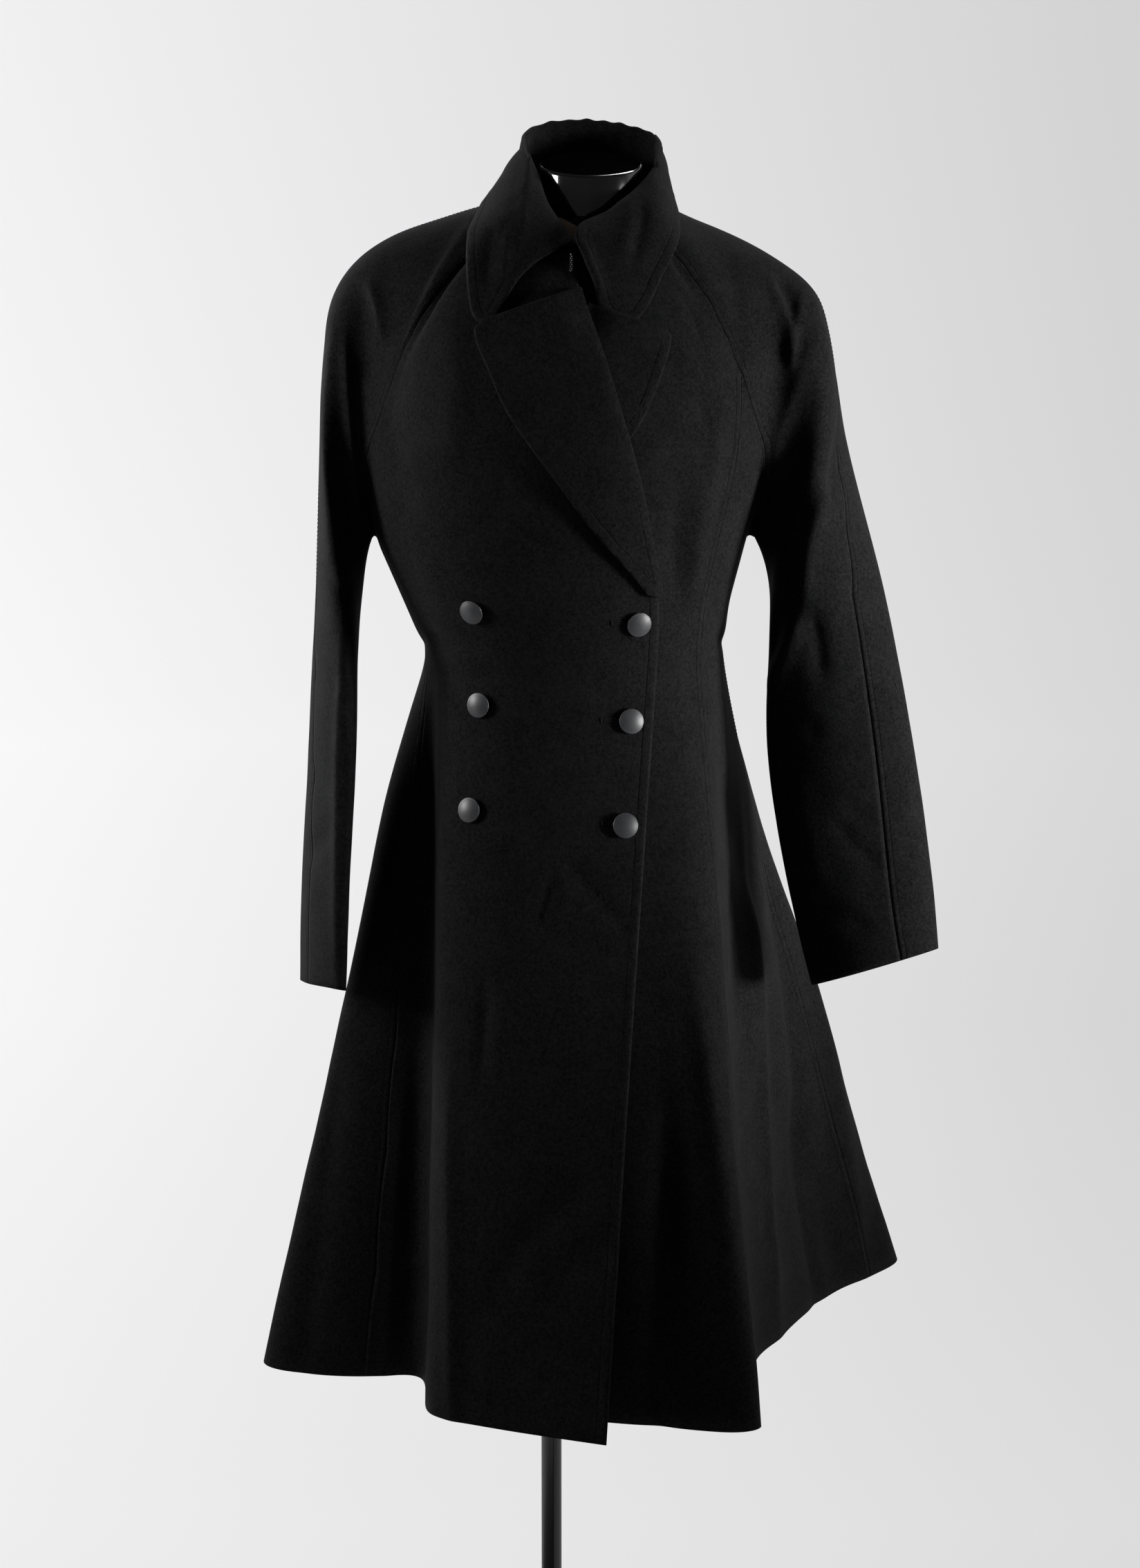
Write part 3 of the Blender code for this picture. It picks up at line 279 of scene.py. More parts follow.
def milled_wool(tree, place):
    """Heavy milled wool: a felted twill whose short nap catches light from the side, so that folds turn
    charcoal where they face a light and stay nearly black elsewhere. Its seams and edges are pressed:
    a padded strip beside them ends in the dent that the topstitching pulls."""
    cloth = bpy.context.scene.coat_cloth
    grains = []
    for scale, detail, weight in ((1.0 / cloth.nap, 3.0, 0.40), (0.40 / cloth.nap, 2.0, 0.45), (38.0, 3.0, 0.15)):
        grain = add_node(tree, "TexNoise", {"Scale": scale, "Detail": detail, "Roughness": 0.65}, {"Vector": place})
        grains.append((grain, weight))
    nap = weighted(tree, grains)
    tones = add_node(tree, "ValToRGB", {"stops": ((0.39, cloth.dark), (0.61, cloth.light))}, {"Fac": nap})
    bump = add_node(tree, "Bump", {"Strength": 0.75, "Distance": 0.0009}, {"Height": nap})
    # The attribute, where its stitches run, how padded its strip and how deep its dent are, and how far in
    # the cloth starts to turn down, in mm
    rows = (
        ("seam_mm", cloth.seam_stitch * 1000, 0.50, -0.40, 0.9),
        ("edge_mm", cloth.edge_stitch * 1000, 0.32, -0.42, 1.9),
    )
    strips = []
    for name, line, padding, dent, turn in rows:
        away = add_node(tree, "Attribute", {"attribute_name": name}, out="Fac")
        sewn = add_node(tree, "Attribute", {"attribute_name": name + "_sewn"}, out="Fac")
        padded = near(tree, away, line / 2, line / 2 + 1.4)
        strip = weighted(tree, ((padded, padding), (near(tree, away, line, 1.1), dent)))
        held = add_node(tree, "Math", {"operation": "MULTIPLY"}, {0: strip, 1: sewn})
        strips += [(held, 1.0), (near(tree, away, 0.0, turn), -0.55)]
    height = weighted(tree, strips)
    ridge = add_node(tree, "Bump", {"Strength": 1.0, "Distance": 0.001}, {"Height": height, "Normal": bump})
    wool = {
        "Roughness": 0.78,
        "IOR": 1.45,
        "Specular IOR Level": 0.02,
        "Sheen Weight": 0.03,
        "Sheen Roughness": 0.40,
        "Sheen Tint": hex_to_linear("b8bac0"),
    }
    shade(tree, wool, {"Base Color": tones, "Normal": ridge})


def polyester_thread(tree, place):
    """Black polyester sewing thread, sunk in the wool: a row of short dark dashes with hardly any shine."""
    twist = add_node(tree, "TexNoise", {"Scale": 1500.0, "Detail": 1.0}, {"Vector": place})
    bump = add_node(tree, "Bump", {"Strength": 0.3, "Distance": 0.0002}, {"Height": twist})
    thread = {"Base Color": hex_to_linear("0a0a0b"), "Roughness": 0.7, "Specular IOR Level": 0.12}
    shade(tree, thread, {"Normal": bump})


def moulded_button(tree, place):
    """Satin polyester button: moulded, tumbled matt, with faint wear on its dome."""
    hard = bpy.context.scene.coat_hard
    cloud = add_node(tree, "TexNoise", {"Scale": 160.0, "Detail": 4.0}, {"Vector": place})
    tones = add_node(tree, "ValToRGB", {"stops": ((0.3, hard.button), (0.7, "343537"))}, {"Fac": cloud})
    fine = add_node(tree, "TexNoise", {"Scale": 2500.0, "Detail": 2.0}, {"Vector": place})
    bump = add_node(tree, "Bump", {"Strength": 0.12, "Distance": 0.0002}, {"Height": fine})
    shade(tree, {"Roughness": 0.46, "IOR": 1.5}, {"Base Color": tones, "Normal": bump})


def lacquer(tree, place):
    """Gloss black lacquer on the turned neck block: a mirror-like coat with a faint ripple."""
    hard = bpy.context.scene.coat_hard
    ripple = add_node(tree, "TexNoise", {"Scale": 60.0, "Detail": 1.0}, {"Vector": place})
    bump = add_node(tree, "Bump", {"Strength": 0.05, "Distance": 0.0006}, {"Height": ripple})
    smear = add_node(tree, "MapRange", {"To Min": 0.07, "To Max": 0.16}, {"Value": ripple})
    gloss = {"Base Color": hex_to_linear(hard.neck), "IOR": 1.52, "Coat Weight": 0.6, "Coat Roughness": 0.05}
    shade(tree, gloss, {"Roughness": smear, "Normal": bump})


def cotton_cover(tree, place):
    """Unbleached plain-woven cotton, stretched over the padded torso, with a black tape sewn round the foot
    of the neck and another below it."""
    hard = bpy.context.scene.coat_hard
    weave = add_node(tree, "TexWave", {"Scale": 380.0, "bands_direction": "Z"}, {"Vector": place}, "Fac")
    warp = add_node(tree, "TexWave", {"Scale": 380.0, "bands_direction": "X"}, {"Vector": place}, "Fac")
    woven = add_node(tree, "Math", {"operation": "ADD"}, {0: weave, 1: warp})
    slub = add_node(tree, "TexNoise", {"Scale": 90.0, "Detail": 4.0}, {"Vector": place})
    tones = add_node(tree, "ValToRGB", {"stops": ((0.0, "776a59"), (1.0, hard.cover))}, {"Fac": slub})
    bump = add_node(tree, "Bump", {"Strength": 0.35, "Distance": 0.0003}, {"Height": woven})
    parts = add_node(tree, "SeparateXYZ", None, {"Vector": place}).node.outputs
    askew = weighted(tree, ((parts["Z"], 1.0), (parts["X"], 0.52)))
    upper = add_node(tree, "Math", {"operation": "GREATER_THAN", 1: TAPE_ABOVE}, {0: askew})
    lower = add_node(tree, "Math", {"operation": "LESS_THAN", 1: TAPE_BELOW}, {0: parts["Z"]})
    high = add_node(tree, "Math", {"operation": "GREATER_THAN", 1: TAPE_FOOT}, {0: parts["Z"]})
    under = add_node(tree, "Math", {"operation": "MULTIPLY"}, {0: lower, 1: high})
    tape = add_node(tree, "Math", {"operation": "MAXIMUM"}, {0: upper, 1: under})
    cover = add_node(tree, "MixRGB", {"Color2": hex_to_linear("0a0a0b")}, {"Fac": tape, "Color1": tones})
    shade(tree, {"Roughness": 0.9, "Specular IOR Level": 0.2}, {"Base Color": cover, "Normal": bump})


def powder_coat(tree, place):
    """Black satin powder coat on the steel stand: fine orange peel and a soft highlight."""
    hard = bpy.context.scene.coat_hard
    peel = add_node(tree, "TexNoise", {"Scale": 700.0, "Detail": 2.0}, {"Vector": place})
    bump = add_node(tree, "Bump", {"Strength": 0.18, "Distance": 0.0003}, {"Height": peel})
    scuff = add_node(tree, "TexNoise", {"Scale": 25.0, "Detail": 5.0}, {"Vector": place})
    rough = add_node(tree, "MapRange", {"To Min": 0.36, "To Max": 0.50}, {"Value": scuff})
    shade(tree, {"Base Color": hex_to_linear(hard.stand), "IOR": 1.5}, {"Roughness": rough, "Normal": bump})


def japanned_steel(tree, place):
    """Blackened steel wire of the hook, worn bright on its bends."""
    wear = add_node(tree, "TexNoise", {"Scale": 260.0, "Detail": 3.0}, {"Vector": place})
    tones = add_node(tree, "ValToRGB", {"stops": ((0.45, "0b0b0c"), (0.75, "303133"))}, {"Fac": wear})
    shade(tree, {"Specular IOR Level": 0.3, "Roughness": 0.55}, {"Base Color": tones})


def worn_steel(tree, place):
    """Bare steel of the hook's chain, polished by wear, so that each link is one bright dot."""
    wear = add_node(tree, "TexNoise", {"Scale": 900.0, "Detail": 2.0}, {"Vector": place})
    rough = add_node(tree, "MapRange", {"To Min": 0.25, "To Max": 0.45}, {"Value": wear})
    shade(tree, {"Metallic": 1.0, "Base Color": hex_to_linear("b9b9ba")}, {"Roughness": rough})


def neck_disc(tree, place):
    """The neck block's sawn top, painted flat black: it shows only as a dark ellipse inside the rim."""
    cloud = add_node(tree, "TexNoise", {"Scale": 120.0, "Detail": 3.0}, {"Vector": place})
    rough = add_node(tree, "MapRange", {"To Min": 0.7, "To Max": 0.85}, {"Value": cloud})
    bump = add_node(tree, "Bump", {"Strength": 0.1, "Distance": 0.0003}, {"Height": cloud})
    paint = {"Base Color": hex_to_linear("040404"), "Specular IOR Level": 0.0}
    shade(tree, paint, {"Roughness": rough, "Normal": bump})


def painted_glow_backdrop(tree, place):
    """Seamless white paper whose brightness is painted light: an emission that glows brightest at the left and at mid
    height behind the object, and dim in front of the object, where a studio is dark. The glow also lights the object."""
    stage = bpy.context.scene.coat_stage
    parts = add_node(tree, "SeparateXYZ", None, {"Vector": place}).node.outputs
    # The picture's own sides: how far across a point lies for its distance from the camera
    depth = add_node(tree, "Math", {"operation": "MAXIMUM", 1: 3.0}, {0: parts["Y"]})
    reach = add_node(tree, "Math", {"operation": "ADD", 1: -CAMERA_PLACE[1]}, {0: depth})
    across = add_node(tree, "Math", {"operation": "DIVIDE"}, {0: parts["X"], 1: reach})
    level = None
    # Painted light: the paper's glow is made stronger or weaker across, in depth and in height, standing in for how a
    # studio's light falls on it
    for value, kind, low, high, at_low, at_high in (
        (across, "LINEAR", -0.17, 0.17, 1.12, 0.80),
        (parts["Y"], "SMOOTHSTEP", -2.2, 0.6, 0.06, 0.87),
        (parts["Z"], "LINEAR", 0.2, 2.6, 0.93, 0.86),
    ):
        ends = {"From Min": low, "From Max": high, "To Min": at_low, "To Max": at_high}
        step = add_node(tree, "MapRange", {"interpolation_type": kind, **ends}, {"Value": value})
        level = step if level is None else add_node(tree, "Math", {"operation": "MULTIPLY"}, {0: level, 1: step})
    grain = add_node(tree, "TexNoise", {"Scale": 3.0, "Detail": 2.0}, {"Vector": place})
    rough = add_node(tree, "MapRange", {"To Min": 0.85, "To Max": 0.95}, {"Value": grain})
    paper = {"Base Color": hex_to_linear("6e6e70"), "Specular IOR Level": 0.1}
    paper["Emission Color"] = hex_to_linear(stage.backdrop)
    shade(tree, paper, {"Roughness": rough, "Emission Strength": level})


MATERIALS = {
    "wool": ("Milled_black_wool", milled_wool),
    "neck_top": ("Flat_black_paint", neck_disc),
    "thread": ("Black_sewing_thread", polyester_thread),
    "button": ("Satin_polyester_button", moulded_button),
    "neck": ("Black_gloss_lacquer", lacquer),
    "form_cloth": ("Unbleached_cotton_cover", cotton_cover),
    "stand": ("Black_powder_coated_steel", powder_coat),
    "hook": ("Japanned_steel_hook", japanned_steel),
    "chain": ("Worn_steel_chain", worn_steel),
    "backdrop": ("Seamless_paper_backdrop", painted_glow_backdrop),
}


def finish_of(name):
    """A finish's material, made once. Its patterns follow the Object coordinates."""
    title, paint = MATERIALS[name]
    made = bpy.data.materials.get(title)
    if made is None:
        made = bpy.data.materials.new(title)
        made.use_nodes = True
        made.node_tree.nodes.clear()
        paint(made.node_tree, add_node(made.node_tree, "TexCoord", out="Object"))
    return made


def mesh_of(bm, name="sheet"):
    """A mesh of a bmesh, which is freed."""
    mesh = bpy.data.meshes.new(name)
    bm.to_mesh(mesh)
    bm.free()
    return mesh


def bmesh_of(mesh):
    bm = bmesh.new()
    bm.from_mesh(mesh)
    return bm


def welded(node):
    """A copy of a CAD node's mesh, with its loose triangles joined up."""
    bm = bmesh_of(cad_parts[node].data)
    bmesh.ops.remove_doubles(bm, verts=bm.verts, dist=1e-6)
    return bm


def new_piece(name, bm, finish, replaced=()):
    """Turns a bmesh into a smooth piece of the object that rides on the root body."""
    mesh = mesh_of(bm, name)
    mesh.shade_smooth()
    piece = bpy.data.objects.new(name, mesh)
    bpy.context.scene.collection.objects.link(piece)
    mesh.materials.append(finish_of(finish))
    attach(piece, "root")
    if replaced:
        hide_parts(*replaced)
    return piece


def ease(value, start, end):
    """0 before start, 1 after end, and a smooth step between them."""
    share = np.clip((value - start) / (end - start), 0.0, 1.0)
    return share * share * (3.0 - 2.0 * share)


def axis_at(axis, height):
    """The point of a middle line at a height."""
    heights, line_x, line_y = zip(*axis)
    return Vector((np.interp(height, heights, line_x), np.interp(height, heights, line_y), height))


def outer_sheet(node, axis):
    """The outer face of a cloth node's wall: one sheet of quads with the wall's rim and inside taken off. A
    rim's face has an edge as long as the wall is thick, and on the narrow lapels nothing close behind it."""
    bm = welded(node)
    bm.normal_update()
    narrow = node.startswith("lapel")
    tree = BVHTree.FromBMesh(bm)
    rims = []
    for face in bm.faces:
        inside = face.calc_center_median() - face.normal * 1e-4
        if narrow:
            is_rim = tree.ray_cast(inside, -face.normal, CLOTH_WALL * 1.45)[0] is None
        else:
            is_rim = any(abs(edge.calc_length() - CLOTH_WALL) < 2e-5 for edge in face.edges)
        if is_rim:
            rims.append(face)
    bmesh.ops.delete(bm, geom=rims, context="FACES")
    left, best, kept = set(bm.faces), -math.inf, []
    while left:
        seed = left.pop()
        group, todo = [seed], [seed]
        while todo:
            for edge in todo.pop().edges:
                if narrow and len(edge.link_faces) == 2 and edge.calc_face_angle() > math.radians(58):
                    continue
                for other in edge.link_faces:
                    if other in left:
                        left.discard(other)
                        group.append(other)
                        todo.append(other)
        score = 0.0
        for face in group:
            centre = face.calc_center_median()
            score += (centre - axis_at(axis, centre.z)).normalized().dot(face.normal) * face.calc_area()
        if score > best:
            best, kept = score, group
    keep = set(kept)
    bmesh.ops.delete(bm, geom=[face for face in bm.faces if face not in keep], context="FACES")
    loose = [vert for vert in bm.verts if not vert.link_faces]
    bmesh.ops.delete(bm, geom=loose, context="VERTS")
    bmesh.ops.join_triangles(
        bm, faces=bm.faces, angle_face_threshold=math.radians(80), angle_shape_threshold=math.radians(100)
    )
    return bm


def smoothed(bm, levels, round_corners=False):
    """A smooth, finer mesh of a sheet."""
    mesh = mesh_of(bm)
    for _ in SEWN_PANELS:
        mesh.materials.append(None)
    holder = bpy.data.objects.new("sheet", mesh)
    bpy.context.scene.collection.objects.link(holder)
    finer = holder.modifiers.new("finer", "SUBSURF")
    finer.levels = finer.render_levels = levels
    finer.boundary_smooth = "ALL" if round_corners else "PRESERVE_CORNERS"
    seen = holder.evaluated_get(bpy.context.evaluated_depsgraph_get())
    result = bpy.data.meshes.new_from_object(seen)
    bpy.data.objects.remove(holder)
    bpy.data.meshes.remove(mesh)
    return result


def sewn_coat(levels):
    """The six body panels and four sleeve halves, sewn into one smooth sheet. A face's material index is
    its panel's place in SEWN_PANELS."""
    whole = bmesh.new()
    for number, node in enumerate(SEWN_PANELS):
        panel = outer_sheet(node, ARM_AXES.get(node.rsplit("_", 1)[0], BODY_AXIS))
        for face in panel.faces:
            face.material_index = number
        mesh = mesh_of(panel)
        whole.from_mesh(mesh)
        bpy.data.meshes.remove(mesh)
    edges = [vert for vert in whole.verts if vert.is_boundary]
    bmesh.ops.remove_doubles(whole, verts=edges, dist=SEAM_REACH)
    return smoothed(whole, levels)


def mesh_arrays(mesh):
    """A mesh's points and normals, as rows."""
    rows = []
    for data, name in ((mesh.vertices, "co"), (mesh.vertex_normals, "vector")):
        values = np.empty(len(data) * 3, np.float32)
        data.foreach_get(name, values)
        rows.append(values.reshape(-1, 3).astype(float))
    return rows


def set_points(mesh, points):
    mesh.vertices.foreach_set("co", points.astype(np.float32).ravel())
    mesh.update()


def crease_depths(points, normals, part):
    """How far each point of a part moves out along its normal, in metres."""
    moved = np.zeros(len(points))
    for (over, side), rows in CREASES.items():
        if over != part:
            continue
        axis, sign = SIDES[side]
        flat = points[:, (1 - axis, 2)] * 1000.0
        facing = ease(normals[:, axis] * sign, 0.0, 0.4)
        for depth, width, *line in rows:
            stops = np.array(line, float).reshape(-1, 2)
            steps = np.linalg.norm(np.diff(stops, axis=0), axis=1)
            nearest = np.full(len(points), np.inf)
            share = np.zeros(len(points))
            for i, step in enumerate(steps):
                along = (stops[i + 1] - stops[i]) / step
                run = np.clip((flat - stops[i]) @ along, 0.0, step)
                distance = np.linalg.norm(flat - stops[i] - run[:, None] * along, axis=1)
                closer = distance < nearest
                nearest = np.where(closer, distance, nearest)
                share = np.where(closer, (steps[:i].sum() + run) / steps.sum(), share)
            fade = ease(share, 0.0, 0.3) * ease(1.0 - share, 0.0, 0.3) * facing
            moved += depth / 1000.0 * fade * np.exp(-((nearest / width) ** 1.7))
    return moved


def waves(points):
    """The small waves of worn cloth, longer and deeper in the skirt, in metres."""
    out = np.empty(len(points))
    for i, point in enumerate(points):
        out[i] = sum(noise.noise(Vector(point) * pace) * height for pace, height in WAVES)
    return out * (1.0 + 0.6 * ease(-points[:, 2], -1.05, -0.75))


def move_out(mesh, depths):
    points, normals = mesh_arrays(mesh)
    set_points(mesh, points + normals * depths[:, None])


def crease_coat(mesh):
    """Moves the sewn coat's points by the creases of their part."""
    points, normals = mesh_arrays(mesh)
    depths = waves(points)
    panel = np.zeros(len(points), int)
    for polygon in mesh.polygons:
        for vert in polygon.vertices:
            panel[vert] = polygon.material_index
    for part, nodes in PARTS.items():
        chosen = np.isin(panel, [SEWN_PANELS.index(node) for node in nodes])
        depths[chosen] += crease_depths(points[chosen], normals[chosen], part)
    move_out(mesh, depths)


def along_edges(bm, edges):
    """Points about 1 mm apart along edges."""
    points = []
    for edge in edges:
        start, end = (vert.co for vert in edge.verts)
        count = max(1, round((end - start).length / 0.001))
        points += [start.lerp(end, (i + 0.5) / count) for i in range(count)]
    return points


def seams_of(bm):
    """The points of each seam of the sewn coat, by its two panels. The seam under an arm is marked plain."""
    seams = {}
    for edge in bm.edges:
        if len(edge.link_faces) != 2:
            continue
        pair = sorted({face.material_index for face in edge.link_faces})
        if len(pair) < 2:
            continue
        plain = False
        if pair[0] >= len(BODY_PANELS):
            right = pair[0] == len(BODY_PANELS)
            middle = (edge.verts[0].co + edge.verts[1].co) / 2
            out = middle.x - axis_at(RIGHT_ARM_AXIS if right else LEFT_ARM_AXIS, middle.z).x
            plain = (out > 0 if right else out < 0) and middle.z < 1.40
        seams.setdefault((pair[0], pair[1], plain), []).append(edge)
    return {key: along_edges(bm, edges) for key, edges in seams.items()}


def distances(bm, name, marks):
    """Stores each point's distance to the nearest mark, in mm, and whether that mark has topstitching."""
    bm.verts.layers.float.new(name)
    bm.verts.layers.float.new(name + "_sewn")
    layer, sewn = bm.verts.layers.float[name], bm.verts.layers.float[name + "_sewn"]
    tree = KDTree(max(1, len(marks)))
    for i, (point, _) in enumerate(marks):
        tree.insert(point, i)
    tree.balance()
    for vert in bm.verts:
        vert[layer] = FAR_MM
        if marks:
            _, i, distance = tree.find(vert.co)
            vert[layer] = min(FAR_MM, distance * 1000.0)
            vert[sewn] = marks[i][1]
    return layer, sewn


def level_lines(bm, layers, level):
    """The lines on a mesh at a distance from topstitched marks, each as (point, normal) rows."""
    layer, sewn = layers
    links, places = {}, {}
    for face in bm.faces:
        values = [vert[layer] for vert in face.verts]
        if min(values) >= level or max(values) < level or min(vert[sewn] for vert in face.verts) < 1.0:
            continue
        met = []
        for edge in face.edges:
            first, second = edge.verts
            if (first[layer] < level) == (second[layer] < level):
                continue
            share = (level - first[layer]) / (second[layer] - first[layer])
            places[edge.index] = (first.co.lerp(second.co, share), first.normal.lerp(second.normal, share))
            met.append(edge.index)
        if len(met) == 2:
            links.setdefault(met[0], []).append(met[1])
            links.setdefault(met[1], []).append(met[0])
    lines, left = [], set(links)
    for start in sorted(links, key=lambda key: len(links[key])):
        if start not in left:
            continue
        left.discard(start)
        line, here = [start], start
        while True:
            nexts = [key for key in links[here] if key in left]
            if not nexts:
                break
            here = nexts[0]
            left.discard(here)
            line.append(here)
        lines.append([places[key] for key in line])
    return lines


def turn_to(along, up):
    """The turn that takes X to along and Z to up."""
    return Matrix((along, up.cross(along), up)).transposed().to_4x4()


def add_stitches(bm, line):
    """Lays stitches end to end along a line, with a needle's gap between them."""
    length = bpy.context.scene.coat_cloth.stitch_length
    pitch = length * STITCH_PITCH
    run, due = 0.0, pitch / 2
    for (start, normal), (end, _) in zip(line, line[1:]):
        step = (end - start).length
        while step > 1e-7 and due <= run + step:
            along = (end - start).normalized()
            up = (normal - along * normal.dot(along)).normalized()
            turn = turn_to(along, up)
            place = start.lerp(end, (due - run) / step) + up * STITCH_LIFT
            size = Matrix.Diagonal((length / 2, *STITCH_SIZE, 1.0))
            bmesh.ops.create_icosphere(bm, subdivisions=1, radius=1.0, matrix=Matrix.Translation(place) @ turn @ size)
            due += pitch
        run += step


def sew(bm, name, marks, away, sewing):
    """Stores the distances from marks, and lays stitches a distance away from those with topstitching."""
    for line in level_lines(bm, distances(bm, name, marks), away * 1000):
        add_stitches(sewing, line)


def cut_panel(mesh, number):
    """The faces of one panel of the sewn coat, as a bmesh."""
    bm = bmesh_of(mesh)
    away = [face for face in bm.faces if face.material_index != number]
    bmesh.ops.delete(bm, geom=away, context="FACES")
    for face in bm.faces:
        face.material_index = 0
    bm.verts.index_update()
    bm.edges.index_update()
    bm.normal_update()
    return bm


def overlap_edge(edge):
    """Whether a free edge of the right front is the edge that laps over."""
    start, end = (vert.co for vert in edge.verts)
    return edge.is_boundary and abs(start.z - end.z) > 0.6 * (start - end).length and start.x > 0.0


def cloth_piece(node, bm):
    """Makes a sheet a piece of cloth, with the wool's thickness inwards from its outer face."""
    piece = new_piece("cloth_" + node, bm, "wool", (node,))
    wall = piece.modifiers.new("thickness", "SOLIDIFY")
    wall.thickness = bpy.context.scene.coat_cloth.thickness
    wall.offset = -1.0


class COAT_OT_cloth(bpy.types.Operator):
    """Makes the body panels and the sleeves, with their topstitching"""

    bl_idname = "coat.cloth"
    bl_label = "Body and sleeves"

    def execute(self, context):
        cloth = context.scene.coat_cloth
        mesh = sewn_coat(cloth.levels)
        crease_coat(mesh)
        whole = bmesh_of(mesh)
        seams = seams_of(whole)
        whole.free()
        sewing = bmesh.new()
        for number, node in enumerate(SEWN_PANELS):
            bm = cut_panel(mesh, number)
            marks = []
            for (low, high, plain), points in seams.items():
                if number in (low, high):
                    has_stitches = float(number == high and not plain)
                    marks += [(point, has_stitches) for point in points]
            sew(bm, "seam_mm", marks, cloth.seam_stitch, sewing)
            edges = []
            if node == "front_right":
                edges = [(point, 1.0) for point in along_edges(bm, filter(overlap_edge, bm.edges))]
            sew(bm, "edge_mm", edges, cloth.edge_stitch, sewing)
            cloth_piece(node, bm)
        bpy.data.meshes.remove(mesh)
        new_piece("stitches_body", sewing, "thread")
        return {"FINISHED"}


def shape_collar(mesh):
    """Draws the collar's leaf in at the sides and along its front edges, and crimps its fold at the back."""
    points, normals = mesh_arrays(mesh)
    heights, right, left = (np.array(column) / 1000.0 for column in zip(*COLLAR_SIDES))
    neck = NECK_AXIS[0][1]
    out = ease(np.abs(points[:, 0] - neck), 0.045, 0.088)
    leaf = ease(normals[:, 0] * np.sign(points[:, 0] - neck) + 0.4 * np.abs(normals[:, 1]), -0.3, 0.2)
    shift = np.where(
        points[:, 0] < neck, np.interp(points[:, 2], heights, right), -np.interp(points[:, 2], heights, left)
    )
    moved = points.copy()
    moved[:, 0] += shift * out * leaf
    for x, z, reach, along_x, along_z in COLLAR_PULLS:
        away = np.hypot(points[:, 0] * 1000 - x, points[:, 2] * 1000 - z) / reach
        weight = np.exp(-(away**2)) * ease(-points[:, 1], -0.01, 0.03)
        moved[:, 0] += along_x / 1000.0 * weight
        moved[:, 2] += along_z / 1000.0 * weight
    crimp = np.zeros(len(points))
    for x, height in COLLAR_CRIMPS:
        crimp += height / 1000.0 * np.exp(-(((points[:, 0] - x / 1000.0) / CRIMP_WIDTH) ** 2))
    fold = ease(points[:, 2], 1.530, 1.556) * ease(points[:, 1], 0.0, 0.03)
    moved[:, 2] += (crimp - 0.0009) * fold
    moved[:, 1] += crimp * 0.6 * ease(points[:, 2], 1.500, 1.548) * ease(points[:, 1], 0.0, 0.03)
    set_points(mesh, moved)
    points, normals = mesh_arrays(mesh)
    move_out(mesh, waves(points) + crease_depths(points, normals, "collar"))


def stitch_weight(node, edge):
    """How strongly a free edge of the collar or a lapel is topstitched, from 0 to 1. None where it joins the
    neck or rolls over."""
    middle = (edge.verts[0].co + edge.verts[1].co) / 2
    face = edge.link_faces[0]
    if node == "collar":
        away = Vector((middle.x - NECK_AXIS[0][1], middle.y, 0.0)).normalized()
        return 1.0 if face.normal.dot(away) > -0.1 else None
    out = middle - face.calc_center_median()
    outward = out.x / max(1e-9, math.hypot(out.x, out.z))
    if node == "lapel_left":
        return float(outward > 0.55 and middle.z < LEFT_STITCHES_END) if outward > 0.0 else None
    return float(1.0 - ease(middle.z, *RIGHT_STITCHES_FADE)) if outward < 0.3 else None


def round_tip(mesh, towards, radius):
    """Rounds a lapel's tip, which is its furthest point towards a direction in X and Z."""
    points, _ = mesh_arrays(mesh)
    flat = points[:, (0, 2)]
    tip = flat[(flat @ towards).argmax()]
    arms = flat - tip
    reach = np.linalg.norm(arms, axis=1)
    arms = arms[(reach > 1.6 * radius) & (reach < 2.2 * radius)]
    middle = arms.mean(axis=0) / np.linalg.norm(arms.mean(axis=0))
    turns = np.arctan2(arms @ (-middle[1], middle[0]), arms @ middle)
    half = (turns.max() - turns.min()) / 2
    lean = (turns.max() + turns.min()) / 2
    cos, sin = math.cos(lean), math.sin(lean)
    inward = np.array((middle[0] * cos - middle[1] * sin, middle[1] * cos + middle[0] * sin))
    centre = tip + inward * radius / math.sin(half)
    arms = flat - centre
    reach = np.linalg.norm(arms, axis=1)
    away = np.arccos(np.clip(arms @ -inward / np.maximum(reach, 1e-9), -1.0, 1.0))
    shrink = np.cos(np.maximum(0.0, math.pi / 2 - half - away))
    points[:, (0, 2)] = centre + arms * (1 - (1 - shrink) * ease(reach / radius, 0.2, 1.0))[:, None]
    set_points(mesh, points)


class COAT_OT_collar(bpy.types.Operator):
    """Makes the collar and the two lapels, with their topstitching"""

    bl_idname = "coat.collar"
    bl_label = "Collar and lapels"

    def execute(self, context):
        cloth = context.scene.coat_cloth
        sewing = bmesh.new()
        for node, axis in (("collar", NECK_AXIS), ("lapel_right", BODY_AXIS), ("lapel_left", BODY_AXIS)):
            mesh = smoothed(outer_sheet(node, axis), cloth.levels, round_corners=node != "collar")
            if node == "collar":
                shape_collar(mesh)
            else:
                round_tip(mesh, *LAPEL_TIPS[node])
                move_out(mesh, waves(mesh_arrays(mesh)[0]))
            bm = bmesh_of(mesh)
            bpy.data.meshes.remove(mesh)
            bm.normal_update()
            edges = []
            for edge in bm.edges:
                weight = stitch_weight(node, edge) if edge.is_boundary else None
                if weight is not None:
                    edges += [(point, weight) for point in along_edges(bm, [edge])]
            distances(bm, "seam_mm", [])
            sew(bm, "edge_mm", edges, cloth.edge_stitch, sewing)
            cloth_piece(node, bm)
        new_piece("stitches_collar", sewing, "thread")
        return {"FINISHED"}


